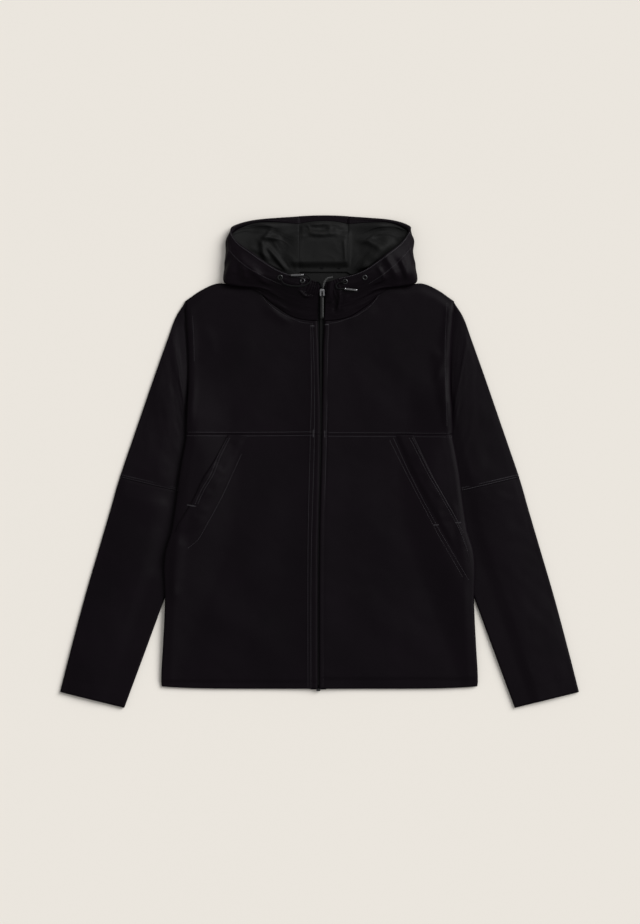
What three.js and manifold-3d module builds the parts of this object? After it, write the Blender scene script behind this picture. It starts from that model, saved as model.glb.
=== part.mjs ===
// A hooded softshell jacket, zipped up and laid flat on its back, front up.
// Millimetres, +X to the wearer's left, +Y to the hood, +Z up, the surface it lies on at z = 0.
import * as THREE from "three";
import { mergeVertices } from "three/addons/utils/BufferGeometryUtils.js";
import Module from "manifold-3d";

const wasm = await Module();
wasm.setup();

// Cloth and seams
const CLOTH = 1.6; // softshell wall
const LINING = 0.9; // hood lining wall
const LINING_GAP = 1.5; // space between the hood's outer wall and its lining
const SEAM_GAP = 0.3; // space between two pieces at a seam
const LAYER_GAP = 0.4; // space between two layers that lie on each other
const FACING = 1.4; // band inside the hood's rim
const BODY_GAP = 2.4; // space between front and back inside the body
const WELT = 1.2; // pocket welt wall
const WELT_REACH = 7; // the welt clears the highest point of the front this far around it

// Body, heights along Y
const HEM_Y = -376.8;
const CHEST_SEAM_Y = 44.8;
const NECK_Y = 233;
const COLLAR_TOP_Y = 295;
const BACK_NECK_Y = 318.4;
const UNDERARM_Y = 45;

// Sleeves lie partly under the body, which rises over them
const SLEEVE_RISE = 6.9; // how far the back panel lifts where a sleeve lies under it
const RISE_START = 34; // distance inside the sleeve's edge where the rise begins
const RISE_END = 9; // distance inside the sleeve's edge where the rise is complete
const RISE_TOP_Y = 72;
const RISE_FADE = 36;
// How far in from the shoulder and the sides the front bends down to the back, and its rise over the zip
const SHOULDER_ROLL = 16;
const SIDE_ROLL = 18;
const SIDE_ROLL_END_Y = 40;
const SIDE_ROLL_FADE = 50;
const ZIP_RISE = 1.5;
const ZIP_RISE_HALF = 34;
const SLEEVE_TUCKED = 4.9; // height of a sleeve where the body lies on it
const SLEEVE_FREE = 6.4; // height of a sleeve at the forearm
const CUFF_HEIGHT = 6.0;
const INNER_SHARE = 0.4; // share of that form that the inside of the wall follows
const SLEEVE_CROWN = 1.6; // how far the middle of a sleeve stands above its edges

// Zip
const TAPE_HALF = 13;
const TAPE_WALL = 0.9;
const TAPE_END_Y = -381;
const TAPE_TOP_Y = COLLAR_TOP_Y - 6;
const COIL_END_Y = HEM_Y + 6;
const COIL_HALF = 1.7;
const COIL_WALL = 1.1;
const CORD_RADIUS = 1.3;

// Edge of the body at its side, from the hem to the underarm
const BODY_SIDE = [
  { y: -377, half: 261.0 },
  { y: -363, half: 262.6 },
  { y: -296, half: 259.0 },
  { y: -246, half: 256.6 },
  { y: -223, half: 256.2 },
  { y: -177, half: 257.8 },
  { y: -148, half: 255.0 },
  { y: -117, half: 245.6 },
  { y: -72, half: 238.4 },
  { y: -28, half: 233.0 },
  { y: 8, half: 226.8 },
  { y: 45, half: 219.4 },
];

// Seam of the sleeve on the front, from the underarm to the shoulder
const ARMHOLE = [
  { y: 45, half: 219.4 },
  { y: 95, half: 217.2 },
  { y: 130, half: 215.6 },
  { y: 190, half: 217.0 },
  { y: 240, half: 220.0 },
  { y: 265, half: 221.6 },
];

// Line of the zip: its middle and half of the slit between the two fronts
const ZIP_LINE = [
  { y: -377, middle: -2.0, half: 1.9 },
  { y: -147, middle: -1.6, half: 1.9 },
  { y: 45, middle: 2.2, half: 2.1 },
  { y: 200, middle: 2.4, half: 4.4 },
  { y: 233, middle: 2.6, half: 5.6 },
  { y: 262, middle: 3.4, half: 5.4 },
  { y: 282, middle: 4.6, half: 4.6 },
  { y: 300, middle: 5.6, half: 6.0 },
];

// Neck seam of one front, from the zip to the shoulder's neck point, then the shoulder line
const NECK_SEAM = [
  { half: 5, y: 233 },
  { half: 26, y: 234.4 },
  { half: 48, y: 240.4 },
  { half: 70, y: 254 },
  { half: 88, y: 268 },
  { half: 101, y: 284 },
  { half: 106, y: 300 },
];
const SHOULDER = { half: 221.6, y: 265 };
const SHOULDER_LINE = [
  { half: 106, y: 300 },
  { half: 140, y: 292.6 },
  { half: 170, y: 294.2 },
  { half: 199, y: 282.2 },
  { half: 221.6, y: 265.6 },
];

// Neck edge of the back, from the shoulder's neck point to the middle
const BACK_NECK = [
  { half: 106, y: 300 },
  { half: 99, y: 312 },
  { half: 84, y: 318 },
  { half: 60, y: BACK_NECK_Y },
  { half: 40, y: BACK_NECK_Y },
];

// Sleeve stations: outer and inner edge of the flat tube on the surface it lies on
const SLEEVE = [
  { ox: 222.6, oy: 265, ix: 220.4, iy: 45 },
  { ox: 240, oy: 238, ix: 215, iy: 28 },
  { ox: 253, oy: 200, ix: 209, iy: 8 },
  { ox: 276, oy: 135, ix: 206, iy: -12 },
  { ox: 303.5, oy: 55, ix: 206, iy: -33 },
  { ox: 331.5, oy: -27, ix: 208, iy: -56 },
  { ox: 346.5, oy: -79, ix: 213, iy: -96 },
  { ox: 366.5, oy: -147, ix: 228, iy: -152 },
  { ox: 388.5, oy: -222, ix: 255, iy: -222 },
  { ox: 411, oy: -306, ix: 288, iy: -312 },
  { ox: 430.4, oy: -382, ix: 323.7, iy: -408.4 },
];
const ELBOW_STATION = 5;
const SLEEVE_CUT = 0.004; // half the gap at the elbow seam, as a share of a station

// Inner edge of the sleeve by height, which the rise of the body follows
const SLEEVE_INNER = SLEEVE.map((row) => ({ y: row.iy, half: row.ix })).reverse();

// Soft folds in the fronts: a ridge from one end to the other, its half width and height
const FOLDS = [
  { x0: -232, y0: -140, x1: -244, y1: -215, width: 12, height: 2.6 },
  { x0: -214, y0: 20, x1: -206, y1: 150, width: 11, height: 1.8 },
  { x0: 206, y0: 100, x1: 196, y1: 175, width: 9, height: 1.7 },
  { x0: 208, y0: 120, x1: 212, y1: 60, width: 10, height: 1.3 },
  { x0: 150, y0: -240, x1: 60, y1: -330, width: 26, height: 1.2 },
  { x0: -170, y0: -250, x1: -90, y1: -300, width: 28, height: 1.3 },
  { x0: 120, y0: 180, x1: 170, y1: 110, width: 24, height: 1.1 },
  { x0: -120, y0: 190, x1: -160, y1: 120, width: 24, height: 1.1 },
];

// Folds across the sleeves, as shares of the length from armhole to cuff and of the width
const SLEEVE_FOLDS = [
  { along: 0.16, across: 0.7, slant: 0.3, width: 0.05, height: 1.2 },
  { along: 0.47, across: 0.35, slant: -0.25, width: 0.04, height: 1.4 },
  { along: 0.56, across: 0.6, slant: -0.2, width: 0.05, height: 1.6 },
  { along: 0.7, across: 0.5, slant: 0.2, width: 0.06, height: 1.1 },
  { along: 0.85, across: 0.5, slant: -0.12, width: 0.05, height: 1.0 },
];

// One side of the hood. A row is a line on its outer face from the neck seam or the centre seam to the rim,
// through the fold that hangs over the shoulder: n at the neck, a, b and c between, r at the rim.
const HOOD_SIDE = [
  {
    nx: 5, ny: 233.6, nz: 7.0, ax: 5, ay: 250, az: 11, bx: 5, by: 266, bz: 15,
    cx: 5, cy: 281, cz: 19, rx: 4, ry: 296, rz: 22,
  },
  {
    nx: 27, ny: 235.2, nz: 7.0, ax: 26, ay: 252, az: 12, bx: 23, by: 268, bz: 17,
    cx: 19, cy: 284, cz: 22, rx: 16, ry: 299, rz: 24,
  },
  {
    nx: 49, ny: 241.2, nz: 7.2, ax: 47, ay: 257, az: 12, bx: 43, by: 272, bz: 18,
    cx: 37, cy: 289, cz: 24, rx: 31, ry: 304, rz: 26,
  },
  {
    nx: 71, ny: 254.8, nz: 7.4, ax: 71, ay: 268, az: 11, bx: 69, by: 281, bz: 17,
    cx: 62, cy: 296, cz: 25, rx: 54, ry: 309, rz: 28,
  },
  {
    nx: 89, ny: 268.8, nz: 7.6, ax: 96, ay: 280, az: 9.5, bx: 99, by: 290, bz: 17,
    cx: 90, cy: 305, cz: 26, rx: 75, ry: 318, rz: 29,
  },
  {
    nx: 102, ny: 284.6, nz: 7.6, ax: 122, ay: 289, az: 8.0, bx: 132, by: 292, bz: 15,
    cx: 119, cy: 313, cz: 26, rx: 95, ry: 332, rz: 29,
  },
  {
    nx: 107, ny: 300.6, nz: 4.8, ax: 139, ay: 295, az: 5.6, bx: 159, by: 297, bz: 12,
    cx: 142, cy: 320, cz: 24, rx: 112, ry: 345, rz: 27,
  },
  {
    nx: 99.6, ny: 312.8, nz: 0.6, ax: 140, ay: 314, az: 1.2, bx: 158, by: 320, bz: 9,
    cx: 149, cy: 337, cz: 19, rx: 129, ry: 357, rz: 23,
  },
  {
    nx: 85, ny: 318.8, nz: 0, ax: 134, ay: 335, az: 0, bx: 154.5, by: 344, bz: 8.5,
    cx: 151, cy: 355, cz: 16.5, rx: 141, ry: 368, rz: 20,
  },
  {
    nx: 72, ny: 318.8, nz: 0, ax: 122, ay: 352, az: 0, bx: 152.5, by: 366, bz: 6.5,
    cx: 152.5, cy: 374, cz: 13, rx: 148, ry: 381, rz: 16.5,
  },
  {
    nx: 60, ny: 318.8, nz: 0, ax: 100, ay: 364, az: 0, bx: 131, by: 381, bz: 1.2,
    cx: 140, cy: 387, cz: 4.4, rx: 145, ry: 391, rz: 8.4,
  },
  {
    nx: 50, ny: 318.8, nz: 0, ax: 73, ay: 365, az: 0, bx: 92, by: 387, bz: 0,
    cx: 103, cy: 397, cz: 1.2, rx: 110, ry: 401.4, rz: 3,
  },
  {
    nx: 39, ny: 318.8, nz: 0, ax: 39, ay: 343, az: 0, bx: 39, by: 368, bz: 0,
    cx: 39, cy: 392, cz: 0, rx: 39, ry: 406.9, rz: 0,
  },
];
const HOOD_SHIFT = 7; // the centre strip of the hood lies this far to the wearer's left
const HOOD_TOP_Y = 408.4;

// Pocket welts: the two edges of the band on each front, from the chest seam down to the side
const WELT_LEFT = [
  { ox: 157.5, oy: 39.5, ix: 124.5, iy: 39.5 },
  { ox: 175, oy: 2, ix: 143.5, iy: -5 },
  { ox: 193, oy: -34, ix: 158.5, iy: -36 },
  { ox: 211, oy: -66, ix: 174.5, iy: -66 },
  { ox: 228.5, oy: -98, ix: 193.5, iy: -102 },
  { ox: 243, oy: -136, ix: 213, iy: -138 },
  { ox: 250, oy: -172, ix: 240, iy: -184 },
];
const WELT_RIGHT = [
  { ox: 154, oy: 39.5, ix: 117.5, iy: 39.5 },
  { ox: 173, oy: 4, ix: 132.5, iy: 12 },
  { ox: 193, oy: -28, ix: 149, iy: -26 },
  { ox: 209, oy: -62, ix: 163, iy: -56 },
  { ox: 224, oy: -88, ix: 176.5, iy: -84 },
  { ox: 236, oy: -108, ix: 190, iy: -108 },
  { ox: 241, oy: -122, ix: 214, iy: -134 },
];

// Eyelets, by their places in plan; each stands on the hood's outer face there
const EYELETS = [
  { name: "eyelet_left_inner", side: 1, x: 42.3, y: 297 },
  { name: "eyelet_left_outer", side: 1, x: 74.9, y: 303.6 },
  { name: "eyelet_right_inner", side: -1, x: -28.2, y: 298.8 },
  { name: "eyelet_right_outer", side: -1, x: -64.7, y: 303.8 },
];
const EYELET = { outer: 4.6, hole: 2.1, height: 1.7 };

// Free cord ends, from the eyelet to the metal tip
const CORD_RIGHT = [
  { x: -64.7, y: 303.8, z: 27.6 },
  { x: -64.6, y: 303.2, z: 30.6 },
  { x: -62.8, y: 298.6, z: 30.4 },
  { x: -58.4, y: 293.6, z: 27.2 },
  { x: -50.5, y: 290.9, z: 26.1 },
  { x: -42, y: 289.6, z: 26.0 },
  { x: -33, y: 289.4, z: 26.2 },
  { x: -24.5, y: 290.6, z: 26.2 },
  { x: -17.8, y: 294.4, z: 26.3 },
  { x: -15.2, y: 300.4, z: 27.4 },
  { x: -18.4, y: 305.8, z: 29.3 },
  { x: -23.2, y: 307.6, z: 29.8 },
  { x: -25.6, y: 307.7, z: 29.8 },
];
const CORD_LEFT = [
  { x: 42.3, y: 297, z: 26.4 },
  { x: 42.1, y: 296.8, z: 29.4 },
  { x: 37.6, y: 296.0, z: 29.2 },
  { x: 32.6, y: 295.2, z: 27.2 },
  { x: 28.8, y: 292.9, z: 26.2 },
  { x: 27.4, y: 289.6, z: 25.6 },
  { x: 28.9, y: 286.6, z: 25.2 },
  { x: 32.6, y: 285.1, z: 25.2 },
  { x: 38, y: 285.3, z: 25.6 },
  { x: 40.6, y: 285.2, z: 25.7 },
];
const TIP = { radius: 2, length: 22 };
const TIP_END_RIGHT = { x: -45, y: 307.2, z: 29.7 };
const TIP_END_LEFT = { x: 64, y: 282.7, z: 23.6 };

// Slider: a body on the coil, two lugs with a pin between them, and the tab that swings on the pin
const SLIDER = {
  y: 280, width: 7.6, length: 12.5, height: 3.6, corner: 2.4,
  lug: 0.9, lugLength: 4.4, lugRise: 3.8, lugSunk: 0.6, pinRadius: 0.7, pinRise: 2.6,
};
const PULL = {
  width: 5.4, neck: 2.8, neckLength: 5, length: 42, wall: 1.5, corner: 1.2, eye: 1.0, hole: 1.05,
};
const STOP = { width: 6.4, length: 3.4, height: 1.9, corner: 0.8 };

// Flat band of the hanging loop at the back neck
const LOOP = { width: 4.4, wall: 0.9 };
const LOOP_LINE = [
  { x: 4, y: 319.6 },
  { x: 5.4, y: 330.5 },
  { x: 12.4, y: 338.4 },
  { x: 22, y: 340.4 },
  { x: 30.6, y: 336.4 },
  { x: 33.4, y: 328.6 },
  { x: 32.4, y: 319.6 },
];

// Open ends of the coil above the slider, and the fold of the guard that the slider docks against
const COIL_END_LEFT = [
  { x: 6.0, y: 288.0, z: 17.8 },
  { x: 7.4, y: 294.6, z: 22.6 },
  { x: 12.6, y: 302, z: 27.6 },
  { x: 20.8, y: 304, z: 28.2 },
];
const COIL_END_RIGHT = [
  { x: 2.8, y: 288.0, z: 17.8 },
  { x: 1.9, y: 293.0, z: 22.4 },
  { x: -2.4, y: 297.0, z: 26.0 },
];
const COIL_END_RADIUS = 1.1;
const GUARD = { x0: 10.4, x1: 21.5, y0: 264, y1: 297, bulge: 3.4, wall: 1.4 };

// Small tools

function smooth(value) {
  const share = Math.min(1, Math.max(0, value));
  return share * share * (3 - 2 * share);
}

function mix(from, to, share) {
  return from + (to - from) * share;
}

// Catmull-Rom value through rows at an even spacing, at a fractional row number
function splineAt(rows, position, key) {
  const last = rows.length - 1;
  const start = Math.min(last - 1, Math.max(0, Math.floor(position)));
  const share = position - start;
  const at = (index) => {
    if (index < 0) return 2 * rows[0][key] - rows[1][key];
    if (index > last) return 2 * rows[last][key] - rows[last - 1][key];
    return rows[index][key];
  };
  const [p0, p1, p2, p3] = [at(start - 1), at(start), at(start + 1), at(start + 2)];
  return (
    p1 +
    0.5 * share * (p2 - p0 + share * (2 * p0 - 5 * p1 + 4 * p2 - p3 + share * (3 * (p1 - p2) + p3 - p0)))
  );
}

// Value of a column by height, between rows sorted by rising y
function byHeight(rows, y, key) {
  if (y <= rows[0].y) return rows[0][key];
  const last = rows.length - 1;
  if (y >= rows[last].y) return rows[last][key];
  let index = 0;
  while (rows[index + 1].y < y) index += 1;
  const share = (y - rows[index].y) / (rows[index + 1].y - rows[index].y);
  return splineAt(rows, index + share, key);
}

function distanceToLine(x, y, line) {
  const dx = line.x1 - line.x0;
  const dy = line.y1 - line.y0;
  const along = Math.min(1, Math.max(0, ((x - line.x0) * dx + (y - line.y0) * dy) / (dx * dx + dy * dy)));
  return Math.hypot(x - line.x0 - along * dx, y - line.y0 - along * dy);
}

// A closed solid from a sheet of points and its other face, row by row; equal points are joined
function sheetSolid(top, bottom, closed = false) {
  const index = new Map();
  const points = [];
  const idOf = (row, column) => {
    const p = top[row][column];
    const q = bottom[row][column];
    const key = [p.x, p.y, p.z, q.x, q.y, q.z].map((value) => value.toFixed(3)).join();
    if (!index.has(key)) {
      index.set(key, points.length);
      points.push([p, q]);
    }
    return index.get(key);
  };
  const faces = [];
  const addFace = (a, b, c) => {
    if (a !== b && b !== c && c !== a) faces.push([a, b, c]);
  };
  const rows = top.length;
  const columns = top[0].length;
  for (let row = 0; row + 1 < rows; row += 1) {
    for (let column = 0; column < (closed ? columns : columns - 1); column += 1) {
      const next = (column + 1) % columns;
      const a = idOf(row, column);
      const b = idOf(row, next);
      const c = idOf(row + 1, next);
      const d = idOf(row + 1, column);
      if ((row + column) % 2) {
        addFace(a, b, c);
        addFace(a, c, d);
      } else {
        addFace(a, b, d);
        addFace(b, c, d);
      }
    }
  }
  const edges = new Map();
  for (const face of faces) {
    face.forEach((from, corner) => {
      const to = face[(corner + 1) % 3];
      if (edges.has(to + "/" + from)) edges.delete(to + "/" + from);
      else edges.set(from + "/" + to, [from, to]);
    });
  }
  const triangles = [];
  for (const [a, b, c] of faces) {
    triangles.push([points[a][0], points[b][0], points[c][0]]);
    triangles.push([points[c][1], points[b][1], points[a][1]]);
  }
  for (const [from, to] of edges.values()) {
    triangles.push([points[to][0], points[from][0], points[from][1]]);
    triangles.push([points[to][0], points[from][1], points[to][1]]);
  }
  return geometryOf(triangles);
}

function geometryOf(triangles) {
  let volume = 0;
  for (const [a, b, c] of triangles) volume += a.dot(b.clone().cross(c));
  const values = [];
  for (const [a, b, c] of triangles) {
    const ordered = volume > 0 ? [a, b, c] : [c, b, a];
    for (const p of ordered) values.push(p.x, p.y, p.z);
  }
  const geometry = new THREE.BufferGeometry();
  geometry.setAttribute("position", new THREE.Float32BufferAttribute(values, 3));
  geometry.computeVertexNormals();
  return geometry;
}

function raised(grid, height) {
  return grid.map((row) => row.map((p) => new THREE.Vector3(p.x, p.y, p.z + height)));
}

// The grid moved along its own normals; a positive depth goes to the side that "facing" points away from
function offsetGrid(grid, depth, facing) {
  const rows = grid.length;
  const columns = grid[0].length;
  return grid.map((line, row) =>
    line.map((p, column) => {
      const east = grid[row][Math.min(columns - 1, column + 1)];
      const west = grid[row][Math.max(0, column - 1)];
      const north = grid[Math.min(rows - 1, row + 1)][column];
      const south = grid[Math.max(0, row - 1)][column];
      const normal = east.clone().sub(west).cross(north.clone().sub(south)).normalize();
      return p.clone().addScaledVector(normal, -depth * facing);
    }),
  );
}

// Heights of the body

function zipMiddle(y) {
  return byHeight(ZIP_LINE, y, "middle");
}

function zipHalf(y) {
  return byHeight(ZIP_LINE, y, "half");
}

// Edge of one front at the zip, as a distance from the middle plane
function zipEdge(side, y) {
  return zipMiddle(y) * side + zipHalf(y);
}

function bodySide(y) {
  return y < UNDERARM_Y ? byHeight(BODY_SIDE, y, "half") : byHeight(ARMHOLE, y, "half");
}

// Underside of the back panel: on the surface, but raised where it lies on a sleeve
function backRise(x, y) {
  const edge = byHeight(SLEEVE_INNER, Math.min(y, UNDERARM_Y), "half");
  const across = smooth((Math.abs(x) - (edge - RISE_START)) / (RISE_START - RISE_END));
  const along = 1 - smooth((y - RISE_TOP_Y) / RISE_FADE);
  return SLEEVE_RISE * across * along;
}

function shoulderDistance(x, y) {
  let nearest = Infinity;
  for (let row = 1; row < SHOULDER_LINE.length; row += 1) {
    const [start, end] = [SHOULDER_LINE[row - 1], SHOULDER_LINE[row]];
    const line = { x0: start.half, y0: start.y, x1: end.half, y1: end.y };
    nearest = Math.min(nearest, distanceToLine(Math.abs(x), y, line));
  }
  return nearest;
}

// Space between back and front: closed at the sides and the shoulder, wider at the zip and the armhole
function bodySpace(x, y) {
  const atShoulder = smooth((shoulderDistance(x, y) - 0.5) / SHOULDER_ROLL);
  const roll = smooth((bodySide(y) - Math.abs(x)) / SIDE_ROLL);
  const atSide = mix(roll, 1, smooth((y - SIDE_ROLL_END_Y) / SIDE_ROLL_FADE));
  const atZip = ZIP_RISE * Math.exp(-(((x - zipMiddle(y)) / ZIP_RISE_HALF) ** 2));
  return LAYER_GAP + BODY_GAP * atShoulder * atSide + atZip + foldHeight(x, y) * atShoulder * atSide;
}

function foldHeight(x, y) {
  let height = 0;
  for (const fold of FOLDS) {
    const share = distanceToLine(x, y, fold) / fold.width;
    height += fold.height * Math.exp(-(share ** 2));
  }
  return height;
}

function frontBottom(x, y) {
  return backRise(x, y) + CLOTH + bodySpace(x, y);
}

// Plan grids of the body; the back uses the same columns and rows as the fronts above it

const ACROSS = [0, 0.06, 0.2, 0.36, 0.52, 0.66, 0.76, 0.84, 0.9, 0.95, 1];
const NECK_COLUMN = 6;

function acrossAt(column) {
  const start = Math.min(ACROSS.length - 2, Math.floor(column));
  return mix(ACROSS[start], ACROSS[start + 1], column - start);
}

function lowerPlan(side, rows) {
  const grid = [];
  for (let row = 0; row <= rows; row += 1) {
    const share = row / rows;
    grid.push(
      ACROSS.map((across) => {
        const hem = HEM_Y + 4 * across ** 6;
        const y = mix(hem, CHEST_SEAM_Y - SEAM_GAP / 2, share);
        return new THREE.Vector3(side * mix(zipEdge(side, y), bodySide(y), across), y, 0);
      }),
    );
  }
  return grid;
}

// Top edge of a front: the neck seam up to its last row, then straight down the shoulder
function chestTop(column) {
  if (column <= NECK_COLUMN) {
    const at = (column / NECK_COLUMN) * (NECK_SEAM.length - 1);
    return { half: splineAt(NECK_SEAM, at, "half"), y: splineAt(NECK_SEAM, at, "y") };
  }
  return SHOULDER_LINE[column - NECK_COLUMN];
}

function chestPlan(side, rows) {
  const base = CHEST_SEAM_Y + SEAM_GAP / 2;
  const grid = [];
  for (let row = 0; row <= rows; row += 1) {
    const share = row / rows;
    grid.push(
      ACROSS.map((across, column) => {
        const top = chestTop(column);
        const y = mix(base, top.y, share);
        const innerBase = zipEdge(side, base);
        const lean = mix(mix(innerBase, bodySide(base), across), top.half, smooth(share) * 0.5 + share * 0.5);
        const innerTop = mix(innerBase, NECK_SEAM[0].half, share);
        const inner = zipEdge(side, y) - innerTop;
        const outer = bodySide(y) - mix(bodySide(base), SHOULDER.half, share);
        return new THREE.Vector3(side * (lean + inner * (1 - across) + outer * across), y, 0);
      }),
    );
  }
  return grid;
}

function withHeight(plan, heightAt) {
  return plan.map((row) => row.map((p) => new THREE.Vector3(p.x, p.y, heightAt(p.x, p.y))));
}

// Height of a faceted grid at a point in plan, taken in its own triangles
function facetHeight(grid, x, y) {
  for (let row = 0; row + 1 < grid.length; row += 1) {
    for (let column = 0; column + 1 < grid[0].length; column += 1) {
      const [line, following] = [grid[row], grid[row + 1]];
      const corners = [line[column], line[column + 1], following[column + 1], following[column]];
      const split = (row + column) % 2 ? [[0, 1, 2], [0, 2, 3]] : [[0, 1, 3], [1, 2, 3]];
      for (const [i, j, k] of split) {
        const [a, b, c] = [corners[i], corners[j], corners[k]];
        const area = (b.x - a.x) * (c.y - a.y) - (c.x - a.x) * (b.y - a.y);
        const second = ((x - a.x) * (c.y - a.y) - (c.x - a.x) * (y - a.y)) / area;
        const third = ((b.x - a.x) * (y - a.y) - (x - a.x) * (b.y - a.y)) / area;
        if (second >= -0.01 && third >= -0.01 && second + third <= 1.01) {
          return a.z + second * (b.z - a.z) + third * (c.z - a.z);
        }
      }
    }
  }
  return null;
}

const LOWER_ROWS = 13;
const CHEST_ROWS = 8;

const frontGrids = {
  1: withHeight(lowerPlan(1, LOWER_ROWS), frontBottom),
  "-1": withHeight(lowerPlan(-1, LOWER_ROWS), frontBottom),
};
const chestGrids = {
  1: withHeight(chestPlan(1, CHEST_ROWS), frontBottom),
  "-1": withHeight(chestPlan(-1, CHEST_ROWS), frontBottom),
};

function backGeometry() {
  const lower = [lowerPlan(-1, LOWER_ROWS), lowerPlan(1, LOWER_ROWS)];
  const chest = [chestPlan(-1, CHEST_ROWS).slice(1), chestPlan(1, CHEST_ROWS).slice(1)];
  const rows = [];
  for (const [left, right] of [lower, chest]) {
    left.forEach((line, row) => rows.push([...line.slice().reverse(), ...right[row]]));
  }
  const neckRows = [];
  const seam = rows[rows.length - 1];
  for (const share of [0.5, 1]) {
    neckRows.push(
      seam.map((p) => {
        const half = Math.abs(p.x);
        const neckPoint = NECK_SEAM[NECK_SEAM.length - 1];
        if (half >= neckPoint.half - 0.01) return p.clone();
        const at = (1 - half / neckPoint.half) * (BACK_NECK.length - 1);
        const upper = { half: splineAt(BACK_NECK, at, "half"), y: splineAt(BACK_NECK, at, "y") };
        const x = Math.sign(p.x) * mix(half, at > 3 ? half : upper.half, share);
        return new THREE.Vector3(x, mix(p.y, upper.y, share), 0);
      }),
    );
  }
  const bottom = withHeight([...rows, ...neckRows], backRise);
  return sheetSolid(raised(bottom, CLOTH), bottom);
}

// Highest point of a faceted grid near a point in plan, so that what lies on it clears its ridges
function highestNear(grid, x, y, reach) {
  let highest = 0;
  for (const [stepX, stepY] of [[0, 0], [1, 0], [-1, 0], [0, 1], [0, -1]]) {
    highest = Math.max(highest, facetHeight(grid, x + stepX * reach, y + stepY * reach) ?? 0);
  }
  return highest;
}

// A band that lies on a front panel, between the two edges of its table
function weltGeometry(side, table) {
  const steps = (table.length - 1) * 3;
  const grid = [];
  for (let step = 0; step <= steps; step += 1) {
    const at = (step / steps) * (table.length - 1);
    const outer = { x: splineAt(table, at, "ox"), y: splineAt(table, at, "oy") };
    const inner = { x: splineAt(table, at, "ix"), y: splineAt(table, at, "iy") };
    const row = [];
    for (const across of [0, 0.25, 0.5, 0.75, 1]) {
      const x = side * mix(inner.x, outer.x, across);
      const y = mix(inner.y, outer.y, across);
      row.push(new THREE.Vector3(x, y, highestNear(frontGrids[side], x, y, WELT_REACH) + CLOTH + LAYER_GAP));
    }
    grid.push(row);
  }
  return sheetSolid(raised(grid, WELT), grid);
}

// A stretch of sleeve between two stations: a flat tube, round at its two long edges

function sleeveHeight(at) {
  const free = smooth((at - 8) / 1.2);
  const cuff = smooth(at - (SLEEVE.length - 2));
  return mix(mix(SLEEVE_TUCKED, SLEEVE_FREE, free), CUFF_HEIGHT, cuff);
}

function sleeveRing(side, at, inset) {
  const outer = { x: splineAt(SLEEVE, at, "ox"), y: splineAt(SLEEVE, at, "oy") };
  const inner = { x: splineAt(SLEEVE, at, "ix"), y: splineAt(SLEEVE, at, "iy") };
  const width = Math.hypot(outer.x - inner.x, outer.y - inner.y);
  const height = sleeveHeight(at);
  const round = height / 2 - inset;
  const along = at / (SLEEVE.length - 1);
  const atArmhole = 1 - smooth(at / 2.2);
  const place = (distance, z) => {
    const share = distance / width;
    const y = mix(inner.y, outer.y, share);
    const bow = mix(ARMHOLE[0].half, SHOULDER.half, share) - byHeight(ARMHOLE, y, "half");
    return new THREE.Vector3(side * (mix(inner.x, outer.x, share) - bow * atArmhole), y, z);
  };
  const ring = [];
  const topShares = [0.06, 0.14, 0.26, 0.42, 0.58, 0.74, 0.88];
  const bulge = (share) => {
    let fold = 0;
    for (const row of SLEEVE_FOLDS) {
      const distance = (along - row.along - row.slant * (share - row.across) * 0.3) / row.width;
      fold += row.height * Math.exp(-(distance ** 2) - ((share - row.across) / 0.3) ** 2);
    }
    const free = smooth((share - 0.22) / 0.2);
    const lift = free * (fold + SLEEVE_CROWN * Math.sin(Math.PI * share)) * smooth((at - 0.2) / 1.5);
    return inset > 0 ? lift * INNER_SHARE : lift;
  };
  for (const angle of [-90, -30, 30, 90]) {
    const turn = (angle * Math.PI) / 180;
    ring.push(place(height / 2 - round * Math.cos(turn), height / 2 + round * Math.sin(turn)));
  }
  for (const share of topShares) ring.push(place(width * share, height - inset + bulge(share)));
  for (const angle of [90, 30, -30, -90]) {
    const turn = (angle * Math.PI) / 180;
    ring.push(place(width - height / 2 + round * Math.cos(turn), height / 2 + round * Math.sin(turn)));
  }
  for (const share of [0.7, 0.4]) ring.push(place(width * share, inset));
  return ring;
}

function sleeveGeometry(side, from, to, rows) {
  const outer = [];
  const inner = [];
  for (let row = 0; row <= rows; row += 1) {
    const at = mix(from, to, row / rows);
    outer.push(sleeveRing(side, at, 0));
    inner.push(sleeveRing(side, at, CLOTH));
  }
  return sheetSolid(outer, inner, true);
}

// Hood. The outer face of a side is a grid of lines from the neck to the rim; the same grid, moved in,
// makes the lining and the facing band.

const HOOD_COLUMNS = 22;
const HOOD_LINES = [0, 0.1, 0.21, 0.31, 0.4, 0.48, 0.56, 0.66, 0.78, 0.89, 1];
const RIM_LINE = HOOD_LINES.length - 1;
const INSIDE_HOOD = CLOTH + LINING_GAP;
const FACING_LINE = 8; // the lining ends and the facing band begins at this line

function hoodPoint(side, along, up) {
  const at = along * (HOOD_SIDE.length - 1);
  const line = ["n", "a", "b", "c", "r"].map((letter) => ({
    x: splineAt(HOOD_SIDE, at, letter + "x"),
    y: splineAt(HOOD_SIDE, at, letter + "y"),
    z: splineAt(HOOD_SIDE, at, letter + "z"),
  }));
  const position = up * (line.length - 1);
  const shift = HOOD_SHIFT * smooth((at - 8) / 4);
  const nearSeam = 1 - smooth(up * 4);
  const y = splineAt(line, position, "y") + SEAM_GAP * nearSeam;
  const pastNeck = (1 - acrossAt(NECK_COLUMN)) * (1 - smooth((at - NECK_COLUMN) / 2));
  const follow = at < NECK_COLUMN ? 1 - acrossAt(at) : pastNeck;
  const zipShift = follow * (zipEdge(side, y) - NECK_SEAM[0].half);
  const half = splineAt(line, position, "x") - 2 * SEAM_GAP * nearSeam + zipShift;
  return new THREE.Vector3(side * half + shift, y, Math.max(0, splineAt(line, position, "z")));
}

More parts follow.
